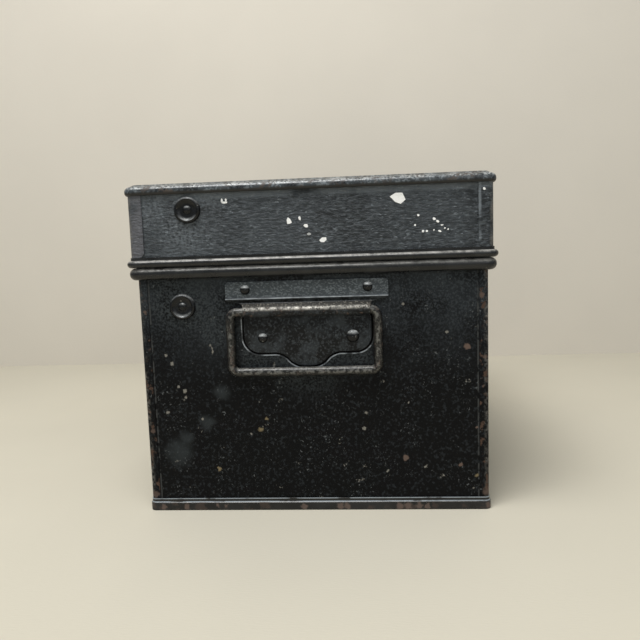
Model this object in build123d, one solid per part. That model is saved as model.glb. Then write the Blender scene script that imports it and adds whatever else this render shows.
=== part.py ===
from build123d import *
from math import cos, hypot, radians, sin
import os

# A japanned tinplate deed box: a wrapped sheet body with a hollow bead, a deep lid with a wired
# edge, a drop handle at each end, a wired hinge, two slotted lid stays and a box lock.
# X runs along the box, -Y is the front with the lock, +Y the back with the hinge, Z is up.
# The origin is on the table under the middle of the box. All sizes are in millimetres.

# ---- Body and lid shells
BODY_LENGTH = 349.0        # over the two end panels
BODY_DEPTH = 248.7         # over the front and back panels
BODY_HEIGHT = 180.8        # table to the top of the body's bead
LID_HEIGHT = 57.1          # underside of the lid's wired edge to the top of its rim
SHEET = 0.8                # tinplate thickness
CORNER = 3.0               # upright corners of the body, outside
BODY_LAP = 6.5             # how far the long panels turn onto the end panels
SEAM_HEIGHT = 6.4          # folded base seam
SEAM_PROUD = 1.25
SEAM_EASE = 0.5            # eased edges of the seam
LIP_HEIGHT = 2.6           # thin edge of the base above its seam
LIP_PROUD = 0.5
BEAD_HEIGHT = 8.5          # hollow half-round bead round the top of the body
BEAD_PROUD = 6.1
BEAD_ROUND = 4.1
HOLLOW_SLOPE = 2.7          # slopes of the bead's hollow, which doesn't show
SKIRT_DEPTH = 12.0         # band below the bead, inside the walls
COLLAR_HEIGHT = 8.0        # band above the bead, inside the lid
COLLAR_HEM = 3.6           # folded edge of the collar
COLLAR_EASE = 0.6
LID_PROUD = 3.3            # lid walls outside the body walls
LID_CORNER = 4.5
LID_LAP = 10.5
LAP_ROUND = 4.0            # rounded lower corner of each lid lap
RIM_DEPTH = 6.9            # turned-down flange of the lid top
RIM_PROUD = 1.7
RIM_ROUND = 2.4
RIM_EASE = 0.5             # eased lower edge of the flange
PANEL_INSET = 12.0         # raised field of the lid top
PANEL_RISE = 1.4
PANEL_SLOPE = 1.3          # width of the slope round the field
REST_GAP = 0.3             # lid edge above the body's bead

# ---- Wired edge and hinge
WIRE = 3.6                 # lid wire, diameter
WIRE_FIT = 0.05
WIRE_OFFSET = 1.0          # wire centre outside the lid wall
HEM_LIP = 2.1              # flat edge of the rolled hem above the roll
HEM_ROOT = 0.4             # how deep that edge runs into the roll
STRAP = 0.7                # hinge strap thickness
STRAP_WIDTH = 26.0
STRAP_SPACING = 118.0
STRAP_FIT = 0.1
STRAP_SIDE_GAP = 0.6
STRAP_LOOP_END = 235.0     # degrees round the wire to the strap's inner edge
STRAP_TAIL = 24.0          # flat length of a strap on the back wall
STRAP_BEND = 2.0           # radius where the strap turns in under the bead
STRAP_BEND_RISE = 1.0      # outer bend above the bead's underside
STRAP_BEND_DROP = 5.6      # inner bend below it
STRAP_RIVET_LOW = 1.0      # rivets below the middle of the tail
NOTCH_HEIGHT = 0.9         # lid notch above the strap's loop

# ---- Drop handles
PLATE = 0.9
PLATE_WIDTH = 116.0
PLATE_OFFSET = 3.0         # handle centre towards the hinge
BAR_DROP = 33.4            # top of the bead down to the bail's upper bar
FLANGE_TOP = 21.6          # plate edges and ribs, measured from that bar
FLANGE_FOOT = 7.6
RIB_HEIGHT = 8.1
RIB_RADIUS = 1.9
APRON_HALF = 45.8
APRON_SIDE_FOOT = 12.4
APRON_SHOULDER_HALF = 39.0
APRON_SHOULDER_DROP = 26.6
APRON_SHOULDER_ROUND = 6.0
APRON_FOOT_DROP = 29.8
APRON_FOOT_HALF = 23.0
TONGUE_HALF = 7.5
TONGUE_DROP = 39.8
TUNNEL_HALF = 44.8
TUNNEL_FIT = 0.125
TUNNEL_EDGE = 0.2          # straight edge of the plate above and below the tunnel
FLANGE_STEP = 3.5          # width of that edge
BAIL_CLEAR = 0.325         # bail to the end panel
BAIL_WIRE = 6.35
BAIL_WIDTH = 104.95        # between the centre lines of the side bars
BAIL_DROP = 43.3           # between the centre lines of the upper and lower bars
BAIL_CORNER = 5.2
BAIL_SLIDE = 2.4           # how far the bail has slid off the plate's centre
UPPER_RIVET_HALF = 43.6
UPPER_RIVET_RISE = 15.8
APRON_RIVET_HALF = 32.3
APRON_RIVET_DROP = 19.2

# ---- Lid stays
LID_STUD_FORWARD = 44.3    # from the hinge axis
LID_STUD_RISE = 37.0
BODY_STUD_FORWARD = 36.1
BODY_STUD_DROP = 31.4
STAY_OPENING = 68.0        # degrees of lid opening at the end of the slot
ARM = 1.6
ARM_HALF_WIDTH = 4.7
ARM_GAP = 1.0              # arm to the collar
SLOT_WIDTH = 5.0
SLOT_END_PLAY = 0.9
CATCH_OFFSET = 1.2         # side notch that holds the lid open
STUD_NECK = 3.2
STUD_SHOULDER = 8.4
STUD_HEAD = 8.4
STUD_HEAD_RISE = 1.8
STUD_PLAY = 0.35
CUP_RADIUS = 9.4
CUP_HEIGHT = 2.4
CUP_FLOOR = 0.8
CUP_CREST = 1.8            # crest of the rim, in from its edge
CUP_SHOULDER = 0.5         # bulge of the outside, in from its edge
CUP_DISH = 2.0             # middle of the slope into the dish, in from the crest
CUP_DISH_LEFT = 0.25       # its height above the dish's floor
PIP_RADIUS = 3.0
PIP_RISE = 1.3
PIP_CLEAR = 0.3

# ---- Lock
CASE_HALF = 31.0
CASE_DEPTH = 12.0          # from the front wall inwards
CASE_BOTTOM = 42.8         # below the top of the bead
CASE_SHEET = 1.2
CASE_CORNER = 3.0
CASE_RIVET_INSET = 5.0
KEYHOLE_DROP = 31.0        # below the top of the bead
KEYHOLE_ROUND = 3.2
KEYHOLE_SLOT = 2.8
KEYHOLE_LENGTH = 11.0
PIN_RADIUS = 1.4
ESCUTCHEON_HALF = 9.0
ESCUTCHEON_SHEET = 0.9
BOLT_SHEET = 3.0
BOLT_TONGUE = 7.0          # height of the tongue
BOLT_THROW = 8.0
BOLT_GAP = 1.6             # tongue to hoop when withdrawn
BOLT_REACH = 24.0          # length of the tongue
BOLT_NECK = 16.0           # web between the tongue and the plate
BOLT_END_ROOM = 6.0        # thrown bolt to the end of the case
HOOP_ROOM = 1.0            # plate under the hoop's foot
HOOP_HALF_SHEET = 1.5
HOOP_WIDTH = 8.4
HOOP_WINDOW = 5.0
HOOP_FOOT = 3.0            # metal under the hoop's window
HOOP_PLAY = 1.0            # bolt's tongue in the window
HOOP_CORNER = 2.0
HOOP_REACH = 18.0          # link plate down to the foot of the hoop
HOOP_GAP = 0.9             # hoop to the edges of the slot in the case
LINK_HALF = 21.0
LINK_SHEET = 1.6
LINK_RISE = 24.0
LINK_CLEAR = 1.6           # link plate above the collar
LINK_CORNER = 5.0
SHELF_CORNER = 4.0
LINK_RIVET_INSET = 6.0
LINK_RIVET_DROP = 8.0
TALON_RADIUS = 4.5
TALON_RISE = 8.2           # keyhole to the lower edge of the bolt
GUIDE_RADIUS = 1.5
GUIDE_RISE = 9.0           # above the lower edge of the bolt
GUIDE_FIT = 0.3
GUIDE_END_PLAY = 0.5
GUIDE_XS = (-14.0, 10.0)
SPRING_SHEET = 0.5
SPRING_GAP = 0.3
SPRING_TIP = 6.0           # spring's end short of the tongue's
ESCUTCHEON_LENGTH = 32.0
ESCUTCHEON_SHIFT = -3.0
ESCUTCHEON_EASE = 0.4
ESCUTCHEON_PIN_INSET = 3.4

# ---- Fasteners
RIVET_SHANK = 1.5
RIVET_FIT = 0.05
PLATE_HEAD = 3.5
PLATE_HEAD_RISE = 2.2
LARGE_HEAD = 4.6           # one apron rivet at each end has a larger head
LARGE_HEAD_RISE = 2.3
SMALL_HEAD = 3.0
SMALL_HEAD_RISE = 1.2
TAIL_TAPER = 0.65          # top of a clinched tail, as a share of its foot
PIN_HEAD_MARGIN = 0.5
PIN_HEAD_RISE = 0.8
PAST = 3.0                 # how far a cut runs past the sheet that it goes through

# ---- Places worked out from the sizes above
half_length = BODY_LENGTH / 2
half_depth = BODY_DEPTH / 2
bead_bottom = BODY_HEIGHT - BEAD_HEIGHT
collar_top = BODY_HEIGHT + COLLAR_HEIGHT
roll_radius = WIRE / 2 + SHEET
axis_height = BODY_HEIGHT + REST_GAP + roll_radius
axis_y = half_depth + LID_PROUD + WIRE_OFFSET
wire_half_length = half_length + LID_PROUD + WIRE_OFFSET
wire_corner = LID_CORNER + WIRE_OFFSET
wire_reach = wire_half_length - wire_corner
roll_top = axis_height + roll_radius
hem_top = roll_top + HEM_LIP
lid_half_length = half_length + LID_PROUD
lid_half_depth = half_depth + LID_PROUD
rim_top = BODY_HEIGHT + REST_GAP + LID_HEIGHT
lid_ceiling = rim_top - SHEET
bar_height = BODY_HEIGHT - BAR_DROP
bar_standoff = BAIL_WIRE / 2 + BAIL_CLEAR
bar_x = half_length + bar_standoff
tunnel_bore = BAIL_WIRE / 2 + TUNNEL_FIT
lid_stud = (axis_y - LID_STUD_FORWARD, axis_height + LID_STUD_RISE)
body_stud = (axis_y - BODY_STUD_FORWARD, axis_height - BODY_STUD_DROP)
arm_outer_x = half_length - 2 * SHEET - ARM_GAP
arm_inner_x = arm_outer_x - ARM
upper_rivets = [(side * UPPER_RIVET_HALF, UPPER_RIVET_RISE) for side in (-1, 1)]
apron_rivets = [(side * APRON_RIVET_HALF, -APRON_RIVET_DROP) for side in (-1, 1)]
handle_rivets_yz = [(PLATE_OFFSET + y, bar_height + z) for y, z in upper_rivets + apron_rivets]
keyhole_z = BODY_HEIGHT - KEYHOLE_DROP
case_face_y = -(half_depth - 2 * SHEET)
case_bottom_z = BODY_HEIGHT - CASE_BOTTOM
case_top_z = collar_top
lock_rivets_xz = [(side * (CASE_HALF - CASE_RIVET_INSET), z) for side in (-1, 1)
                  for z in (case_bottom_z + CASE_RIVET_INSET, bead_bottom - SKIRT_DEPTH / 2)]
link_z = collar_top + LINK_CLEAR
link_rivets_xz = [(side * (LINK_HALF - LINK_RIVET_INSET), link_z + LINK_RISE - LINK_RIVET_DROP)
                  for side in (-1, 1)]
hoop_foot_z = link_z - HOOP_REACH
tongue_z = hoop_foot_z + HOOP_FOOT + HOOP_PLAY + BOLT_TONGUE / 2
tongue_tip = -(HOOP_HALF_SHEET + BOLT_GAP)
lock_middle_y = case_face_y + CASE_DEPTH / 2
guide_z = keyhole_z + TALON_RISE + GUIDE_RISE
escutcheon_pins_y = [ESCUTCHEON_SHIFT + side * (ESCUTCHEON_LENGTH / 2 - ESCUTCHEON_PIN_INSET)
                     for side in (-1, 1)]
rivet_hole = RIVET_SHANK + RIVET_FIT
strap_xs = [step * STRAP_SPACING for step in (-1, 0, 1)]
strap_rivets_z = bead_bottom - STRAP_BEND_DROP - STRAP_TAIL / 2 - STRAP_RIVET_LOW


# ---- Shapes used in several places
def block(half_x, half_y, corner, bottom, top):
    """A solid block with rounded upright edges, centred on the box."""
    return Pos(0, 0, bottom) * extrude(RectangleRounded(2 * half_x, 2 * half_y, corner), top - bottom)


def band(half_x, half_y, corner, thickness, bottom, top):
    """A ring of sheet round the box, measured over its outside."""
    outside = block(half_x, half_y, corner, bottom, top)
    return outside - block(half_x - thickness, half_y - thickness, corner - thickness, bottom, top)


def slab(x_range, y_range, z_range):
    """A plain block between two limits along each axis."""
    sizes = [high - low for low, high in (x_range, y_range, z_range)]
    centre = [(high + low) / 2 for low, high in (x_range, y_range, z_range)]
    return Pos(*centre) * Box(*sizes)


def along_x(radius, y, z, start, end):
    """A round bar along X."""
    return Plane.YZ.offset(start) * Pos(y, z) * extrude(Circle(radius), end - start)


def along_y(radius, x, z, start, end):
    """A round bar along Y."""
    return Pos(x, end, z) * Rot(90, 0, 0) * extrude(Circle(radius), end - start)


def round_path(section, path):
    """Carry a flat section right round a closed path."""
    start = Plane(origin=path @ 0, z_dir=path % 0)
    return sweep(start * section, path=path)


def dome(radius, rise):
    """A rivet head standing on the XY plane: the cap of a ball."""
    ball = (radius ** 2 + rise ** 2) / (2 * rise)
    room = Pos(0, 0, rise / 2) * Box(3 * radius, 3 * radius, rise)
    return Pos(0, 0, rise - ball) * Sphere(ball) & room


def clinch(radius, rise):
    """A tail hammered to a low cone, hanging below the XY plane."""
    return Pos(0, 0, -rise / 2) * Cone(TAIL_TAPER * radius, radius, rise)


def rivet(head, rise, grip):
    """A rivet along Z: its head above the XY plane, its clinched tail below the grip."""
    shank = extrude(Circle(RIVET_SHANK), -grip)
    return dome(head, rise) + shank + Pos(0, 0, -grip) * clinch(SMALL_HEAD, SMALL_HEAD_RISE)


def facing_x(shape, x, y, z):
    """Place a shape so that its Z axis points out of the +X end."""
    return Pos(x, y, z) * Rot(0, 90, 0) * shape


def facing_front(shape, x, y, z):
    """Place a shape so that its Z axis points out of the front."""
    return Pos(x, y, z) * Rot(90, 0, 0) * shape


def facing_back(shape, x, y, z):
    """Place a shape so that its Z axis points out of the back."""
    return Pos(x, y, z) * Rot(-90, 0, 0) * shape


def wrapped_panel(half_x, half_y, corner, lap, bottom, top):
    """The long wall at -Y, turned round both corners and a lap's width onto the ends."""
    shell = band(half_x, half_y, corner, SHEET, bottom, top)
    return shell & slab((-half_x - PAST, half_x + PAST), (-half_y - PAST, -half_y + lap), (bottom, top))


# ---- Body shell
def keyhole(grow=0.0):
    """The keyhole's outline: a round eye over a straight slot."""
    eye = Circle(KEYHOLE_ROUND + grow)
    slot = Pos(0, -KEYHOLE_LENGTH / 2) * Rectangle(KEYHOLE_SLOT + 2 * grow, KEYHOLE_LENGTH + 2 * grow)
    return eye + slot


def through_front(outline, depth):
    """Push a flat outline in through the front wall at the keyhole, to this depth."""
    return Pos(0, -half_depth - PAST, keyhole_z) * Rot(90, 0, 0) * extrude(outline, -PAST - depth)


def drill_x(radius, y, z, face_x):
    """A hole along X through a sheet whose face is here."""
    return along_x(radius, y, z, face_x - PAST, face_x + PAST)


def drill_y(radius, x, z, face_y):
    """A hole along Y through a sheet whose face is here."""
    return along_y(radius, x, z, face_y - PAST, face_y + PAST)


def body_long_panel():
    return wrapped_panel(half_length + SHEET, half_depth, CORNER, BODY_LAP, SHEET, bead_bottom)


def body_front_panel():
    panel = body_long_panel() - through_front(keyhole(), 2 * SHEET)
    for y in escutcheon_pins_y:
        panel -= drill_y(PIN_RADIUS + RIVET_FIT, 0, keyhole_z + y, -half_depth)
    for x, z in lock_rivets_xz:
        panel -= drill_y(rivet_hole, x, z, -half_depth)
    return panel


def body_back_panel():
    panel = mirror(body_long_panel(), about=Plane.XZ)
    for x in strap_xs:
        for side in (-1, 1):
            panel -= drill_y(rivet_hole, x + side * STRAP_WIDTH / 4, strap_rivets_z, half_depth)
    return panel


def body_end_panel():
    half = half_depth - CORNER
    panel = slab((half_length - SHEET, half_length), (-half, half), (SHEET, bead_bottom))
    for y, z in handle_rivets_yz:
        panel -= drill_x(rivet_hole, y, z, half_length)
    return panel - drill_x(STUD_NECK / 2 + RIVET_FIT, *body_stud, half_length)


def body_base():
    """A pan: its edge is folded up outside the walls and dressed down to a thin lip."""
    seam_x = half_length + SHEET + SEAM_PROUD
    seam = block(seam_x, half_depth + SEAM_PROUD, CORNER + SEAM_PROUD, 0, SEAM_HEIGHT)
    outer_edges = seam.faces().sort_by(Axis.Z)[-1].edges() + seam.faces().sort_by(Axis.Z)[0].edges()
    seam = chamfer(outer_edges, SEAM_EASE)
    lip_x = half_length + SHEET + LIP_PROUD
    lip_top = SEAM_HEIGHT + LIP_HEIGHT
    lip = block(lip_x, half_depth + LIP_PROUD, CORNER + LIP_PROUD, SHEET, lip_top)
    return seam + lip - block(half_length + SHEET, half_depth, CORNER, SHEET, lip_top)


def swell(proud, bottom, top):
    """A block that stands out from the walls on every side, and its upper and lower edges."""
    solid = block(half_length + proud, half_depth + proud, CORNER + proud, bottom, top)
    return solid, solid.faces().sort_by(Axis.Z)[-1].edges() + solid.faces().sort_by(Axis.Z)[0].edges()


def body_rim():
    """Skirt, hollow bead and collar rolled in one strip, open to the inside along the bead."""
    inset = half_length - SHEET, half_depth - SHEET, CORNER - SHEET
    skirt_bottom = bead_bottom - SKIRT_DEPTH
    rim = block(*inset, skirt_bottom, collar_top)
    hem = block(half_length, half_depth, CORNER, collar_top - COLLAR_HEM, collar_top)
    hem = chamfer(hem.faces().sort_by(Axis.Z)[-1].edges(), COLLAR_EASE)
    bead, bead_edges = swell(BEAD_PROUD, bead_bottom, BODY_HEIGHT)
    rim = rim + fillet(bead_edges, BEAD_ROUND)
    hollow, hollow_edges = swell(BEAD_PROUD - SHEET, bead_bottom + SHEET, BODY_HEIGHT - SHEET)
    rim -= chamfer(hollow_edges, HOLLOW_SLOPE)
    rim = rim + hem
    rim -= block(*[size - SHEET for size in inset], skirt_bottom, collar_top)
    for x, z in lock_rivets_xz:
        rim -= drill_y(rivet_hole, x, z, -half_depth)
    for y, z in handle_rivets_yz[:len(upper_rivets)]:
        rim -= along_x(rivet_hole, y, z, -half_length, half_length)
    return rim


# ---- Lid shell
def lid_long_wall():
    """The lid's front wall; it stands one sheet proud of the lid ends where it laps them."""
    over_x = lid_half_length + SHEET
    wall = wrapped_panel(over_x, lid_half_depth, LID_CORNER, LID_LAP, roll_top, lid_ceiling)
    for side in (-1, 1):
        inner = side * (wire_half_length - wire_corner)
        outer = side * (lid_half_length + PAST)
        wall -= slab(sorted((inner, outer)), (-lid_half_depth - PAST, 0), (roll_top - PAST, hem_top))
    lap_corners = wall.edges().filter_by(Axis.X).group_by(Axis.Y)[-1].group_by(Axis.Z)[0]
    return fillet(lap_corners, LAP_ROUND)


def lid_front_wall():
    wall = lid_long_wall()
    for x, z in link_rivets_xz:
        wall -= drill_y(rivet_hole, x, z, -lid_half_depth)
    return wall


def strap_gap(x):
    """The room that a hinge strap's loop takes out of the lid's lower edge."""
    half = STRAP_WIDTH / 2 + STRAP_SIDE_GAP
    y_range = (half_depth, axis_y + roll_radius + PAST)
    return slab((x - half, x + half), y_range, (BODY_HEIGHT, roll_top + NOTCH_HEIGHT))


def lid_back_wall():
    wall = mirror(lid_long_wall(), about=Plane.XZ)
    for x in strap_xs:
        wall -= strap_gap(x)
    return wall


def lid_end_panel():
    half = lid_half_depth - LID_CORNER
    panel = slab((lid_half_length - SHEET, lid_half_length), (-half, half), (roll_top, lid_ceiling))
    return panel - drill_x(STUD_NECK / 2 + RIVET_FIT, *lid_stud, lid_half_length)


def lid_top():
    """A pan turned down outside the walls, with a raised field."""
    over_x = lid_half_length + SHEET
    rim = block(over_x + RIM_PROUD, lid_half_depth + RIM_PROUD, LID_CORNER + RIM_PROUD,
                rim_top - RIM_DEPTH, rim_top)
    rim = fillet(rim.faces().sort_by(Axis.Z)[-1].edges(), RIM_ROUND)
    rim = chamfer(rim.faces().sort_by(Axis.Z)[0].edges(), RIM_EASE)
    rim -= block(over_x, lid_half_depth, LID_CORNER, rim_top - RIM_DEPTH, lid_ceiling)
    field = over_x - PANEL_INSET, lid_half_depth - PANEL_INSET, LID_CORNER
    raised = block(*field, rim_top, rim_top + PANEL_RISE)
    raised = chamfer(raised.faces().sort_by(Axis.Z)[-1].edges(), PANEL_SLOPE)
    under = block(*[size - SHEET for size in field], lid_ceiling, rim_top + PANEL_RISE - SHEET)
    under = chamfer(under.faces().sort_by(Axis.Z)[-1].edges(), PANEL_SLOPE)
    return rim + raised - under


def wire_path():
    outline = RectangleRounded(2 * wire_half_length, 2 * axis_y, wire_corner)
    return (Pos(0, 0, axis_height) * outline).wire()


def lid_hem():
    """The rolled edge of the lid with its flat lip, open at the hinge straps.

    Its bore takes the hinge wire along the back. Round the front and the ends the roll is
    closed on its wire, so it is solid there.
    """
    roll = round_path(Circle(roll_radius), wire_path())
    lip = band(wire_half_length, axis_y, wire_corner, WIRE_OFFSET, roll_top - HEM_ROOT, hem_top)
    hem = roll + lip - along_x(WIRE / 2 + WIRE_FIT, axis_y, axis_height, -wire_reach, wire_reach)
    for x in strap_xs:
        hem -= strap_gap(x)
    return hem


def lid_wire():
    """The wire along the back of the lid, which is the hinge's pin."""
    return along_x(WIRE / 2, axis_y, axis_height, WIRE_FIT - wire_reach, wire_reach - WIRE_FIT)


# ---- Hinge
def hinge_strap(x):
    """A strip looped round the lid's wire, brought down over the bead and flat on the back wall."""
    mid = WIRE / 2 + STRAP_FIT + STRAP / 2
    loop_end = radians(STRAP_LOOP_END)
    loop = ThreePointArc((mid * cos(loop_end), mid * sin(loop_end)), (0, mid), (mid, 0))
    wall_y = half_depth - axis_y + STRAP / 2
    bend_z = bead_bottom - axis_height
    tail = FilletPolyline((mid, 0), (mid, bend_z + STRAP_BEND_RISE), (wall_y, bend_z - STRAP_BEND_DROP),
                          (wall_y, bend_z - STRAP_BEND_DROP - STRAP_TAIL), radius=STRAP_BEND)
    strip = trace([loop.edge()] + list(tail.edges()), STRAP)
    profile = Plane.YZ.offset(x - STRAP_WIDTH / 2) * Pos(axis_y, axis_height) * strip
    strap = extrude(profile, STRAP_WIDTH)
    for side in (-1, 1):
        strap -= drill_y(rivet_hole, x + side * STRAP_WIDTH / 4, strap_rivets_z, half_depth)
    return strap


def hinge_rivets():
    pin = rivet(SMALL_HEAD, SMALL_HEAD_RISE, STRAP + SHEET)
    return [facing_back(pin, x + side * STRAP_WIDTH / 4, half_depth + STRAP, strap_rivets_z)
            for x in strap_xs for side in (-1, 1)]


# ---- Drop handles, drawn for the +X end
def plate_section():
    """The plate seen along its width: flat flange, stiffening rib, tunnel for the bar, apron."""
    flat = Pos(PLATE / 2, (FLANGE_TOP - TONGUE_DROP) / 2) * Rectangle(PLATE, FLANGE_TOP + TONGUE_DROP)
    arch = Pos(bar_standoff, 0) * Circle(tunnel_bore + PLATE)
    arch += Pos(bar_standoff / 2, 0) * Rectangle(bar_standoff, 2 * (tunnel_bore + PLATE))
    hollow = Pos(bar_standoff, 0) * Circle(tunnel_bore)
    hollow += Pos(bar_standoff / 2, 0) * Rectangle(bar_standoff, 2 * tunnel_bore)
    rib = Pos(0, RIB_HEIGHT) * (Circle(RIB_RADIUS) - Circle(RIB_RADIUS - PLATE))
    rib_hollow = Pos(0, RIB_HEIGHT) * Circle(RIB_RADIUS - PLATE)
    outside = Pos(-FLANGE_TOP, 0) * Rectangle(2 * FLANGE_TOP, 4 * FLANGE_TOP)
    return flat + arch + rib - hollow - rib_hollow - outside


def plate_outline():
    """The plate's front view: a wide flange with clipped corners over a narrower ogee apron."""
    half = PLATE_WIDTH / 2
    edge = tunnel_bore + PLATE + TUNNEL_EDGE
    corners = [
        (half, FLANGE_TOP), (half, FLANGE_FOOT), (TUNNEL_HALF + FLANGE_STEP, edge), (TUNNEL_HALF, edge),
        (TUNNEL_HALF, -edge), (APRON_HALF, -edge), (APRON_HALF, -APRON_SIDE_FOOT),
        (APRON_SHOULDER_HALF, -APRON_SHOULDER_DROP),
    ]
    right = [Line(start, end) for start, end in zip(corners, corners[1:])]
    shoulder_end = (APRON_SHOULDER_HALF - APRON_SHOULDER_ROUND, -APRON_FOOT_DROP)
    right.append(TangentArc(corners[-1], shoulder_end, tangent=right[-1] % 1))
    foot = (APRON_FOOT_HALF, -APRON_FOOT_DROP)
    waist = ((APRON_FOOT_HALF + TONGUE_HALF) / 2, -(APRON_FOOT_DROP + TONGUE_DROP) / 2)
    right += [
        Line(shoulder_end, foot),
        TangentArc(foot, waist, tangent=(-1, 0)),
        TangentArc((TONGUE_HALF, -TONGUE_DROP), waist, tangent=(1, 0)),
        Line((TONGUE_HALF, -TONGUE_DROP), (0, -TONGUE_DROP)),
    ]
    left = [mirror(edge, about=Plane.YZ) for edge in right]
    top = [Line((-half, FLANGE_TOP), (half, FLANGE_TOP))]
    return make_face(right + left + top)


def handle_plate():
    section = Plane.XZ * Pos(half_length, bar_height) * plate_section()
    pressed = Pos(0, PLATE_OFFSET, 0) * extrude(section, PLATE_WIDTH, both=True)
    outline = Plane.YZ.offset(half_length) * Pos(PLATE_OFFSET, bar_height) * plate_outline()
    plate = pressed & extrude(outline, BAIL_WIRE + bar_standoff)
    for y, z in handle_rivets_yz:
        plate -= drill_x(rivet_hole, y, z, half_length)
    return plate


def handle_rivets():
    """Four domed rivets; the upper pair also passes through the skirt behind the end panel."""
    pins = []
    for y, z in handle_rivets_yz:
        upper = z > bar_height
        head = (PLATE_HEAD, PLATE_HEAD_RISE) if upper or y > PLATE_OFFSET else (LARGE_HEAD, LARGE_HEAD_RISE)
        pin = rivet(*head, PLATE + (2 if upper else 1) * SHEET)
        pins.append(facing_x(pin, half_length + PLATE, y, z))
    return pins


def bail():
    """A closed ring of wire; its upper bar turns in the plate's tunnel."""
    outline = RectangleRounded(BAIL_WIDTH, BAIL_DROP, BAIL_CORNER)
    centre = Pos(PLATE_OFFSET + BAIL_SLIDE, bar_height - BAIL_DROP / 2)
    path = (Plane.YZ.offset(bar_x) * centre * outline).wire()
    return round_path(Circle(BAIL_WIRE / 2), path)


# ---- Lid stays, drawn for the +X end
def stud_distance(opening):
    """How far apart the two studs are when the lid stands open by this many degrees."""
    turn = radians(opening)
    y = -LID_STUD_FORWARD * cos(turn) + LID_STUD_RISE * sin(turn)
    z = LID_STUD_FORWARD * sin(turn) + LID_STUD_RISE * cos(turn)
    return hypot(y + BODY_STUD_FORWARD, z + BODY_STUD_DROP)


def stay_arm():
    """A slotted strip: pivoted on the lid's stud, it slides on the body's stud."""
    closed = stud_distance(0)
    opened = stud_distance(STAY_OPENING)
    end = opened + SLOT_END_PLAY
    strip = Pos(0, -end / 2) * Rectangle(2 * ARM_HALF_WIDTH, end) + Circle(ARM_HALF_WIDTH)
    strip += Pos(0, -end) * Circle(ARM_HALF_WIDTH)
    start = closed - SLOT_END_PLAY
    slot = Pos(0, -(start + end) / 2) * Rectangle(SLOT_WIDTH, end - start)
    for distance in (start, end):
        slot += Pos(0, -distance) * Circle(SLOT_WIDTH / 2)
    slot += Pos(-CATCH_OFFSET, -end) * Circle(SLOT_WIDTH / 2)
    strip -= slot
    strip -= Circle(STUD_NECK / 2 + STUD_PLAY)
    towards_body = Vector(body_stud[0] - lid_stud[0], body_stud[1] - lid_stud[1])
    lean = Vector(0, -1).get_signed_angle(towards_body, Vector(0, 0, 1))
    placed = Plane.YZ.offset(arm_inner_x) * Pos(*lid_stud) * Rot(0, 0, lean) * strip
    return extrude(placed, ARM)


def stay_stud(panel_inner_x, panel_outer_x, seat):
    """A shouldered stud: pip outside, shoulder from panel to arm, neck in the arm, head inside."""
    shoulder = along_x(STUD_SHOULDER / 2, *seat, arm_outer_x + STUD_PLAY, panel_inner_x)
    neck = along_x(STUD_NECK / 2, *seat, arm_inner_x - STUD_PLAY, panel_outer_x + CUP_FLOOR)
    pip = facing_x(dome(PIP_RADIUS, PIP_RISE), panel_outer_x + CUP_FLOOR, *seat)
    head = facing_x(clinch(STUD_HEAD / 2, STUD_HEAD_RISE), arm_inner_x - STUD_PLAY, *seat)
    return shoulder + neck + pip + head


def cup_washer(panel_outer_x, seat):
    """A dished washer with a rounded rim under the stud's pip."""
    bore = STUD_NECK / 2 + RIVET_FIT
    edge, crest = (CUP_RADIUS, 0), (CUP_RADIUS - CUP_CREST, CUP_HEIGHT)
    shoulder = (CUP_RADIUS - CUP_SHOULDER, 2 * CUP_FLOOR)
    slope = (CUP_RADIUS - CUP_CREST - CUP_DISH, CUP_FLOOR + CUP_DISH_LEFT)
    pip_seat = (PIP_RADIUS + PIP_CLEAR, CUP_FLOOR)
    profile = make_face([
        Line((bore, 0), edge),
        ThreePointArc(edge, shoulder, crest),
        ThreePointArc(crest, slope, pip_seat),
        Line(pip_seat, (bore, CUP_FLOOR)),
        Line((bore, CUP_FLOOR), (bore, 0)),
    ])
    return facing_x(revolve(Plane.XZ * profile, Axis.Z), panel_outer_x, *seat)


# ---- Lock
def lock_case():
    """A pressed tray riveted inside the front wall, open towards the room inside."""
    back_y = case_face_y + CASE_DEPTH
    case = slab((-CASE_HALF, CASE_HALF), (case_face_y, back_y), (case_bottom_z, case_top_z))
    case = fillet(case.edges().filter_by(Axis.Y), CASE_CORNER)
    inner = CASE_HALF - CASE_SHEET
    case -= slab((-inner, inner), (case_face_y + CASE_SHEET, back_y),
                 (case_bottom_z + CASE_SHEET, case_top_z - CASE_SHEET))
    half_slot = HOOP_HALF_SHEET + HOOP_GAP
    case -= slab((-half_slot, half_slot), hoop_y_range(HOOP_GAP), (case_top_z - PAST, case_top_z + PAST))
    case -= through_front(keyhole(), 2 * (SHEET + CASE_SHEET))
    for x in GUIDE_XS:
        case += along_y(GUIDE_RADIUS, x, guide_z, case_face_y + CASE_SHEET, back_y)
    for x, z in lock_rivets_xz:
        case -= drill_y(rivet_hole, x, z, case_face_y)
    return case


def hoop_y_range(grow=0.0):
    """The hoop's two edges, or the slot's where there is room round it."""
    half = HOOP_WIDTH / 2 + grow
    return lock_middle_y - half, lock_middle_y + half


def lock_cap():
    """The plate that closes the case; it carries the pin that a piped key turns on."""
    back = case_face_y + CASE_DEPTH
    cap = slab((-CASE_HALF, CASE_HALF), (back, back + CASE_SHEET), (case_bottom_z, case_top_z))
    cap = fillet(cap.edges().filter_by(Axis.Y), CASE_CORNER)
    return cap + along_y(PIN_RADIUS, 0, keyhole_z, -half_depth + SHEET / 2, back + CASE_SHEET)


def lock_rivets():
    pin = rivet(SMALL_HEAD, SMALL_HEAD_RISE, 2 * SHEET + CASE_SHEET)
    return [facing_front(pin, x, -half_depth, z) for x, z in lock_rivets_xz]


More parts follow.
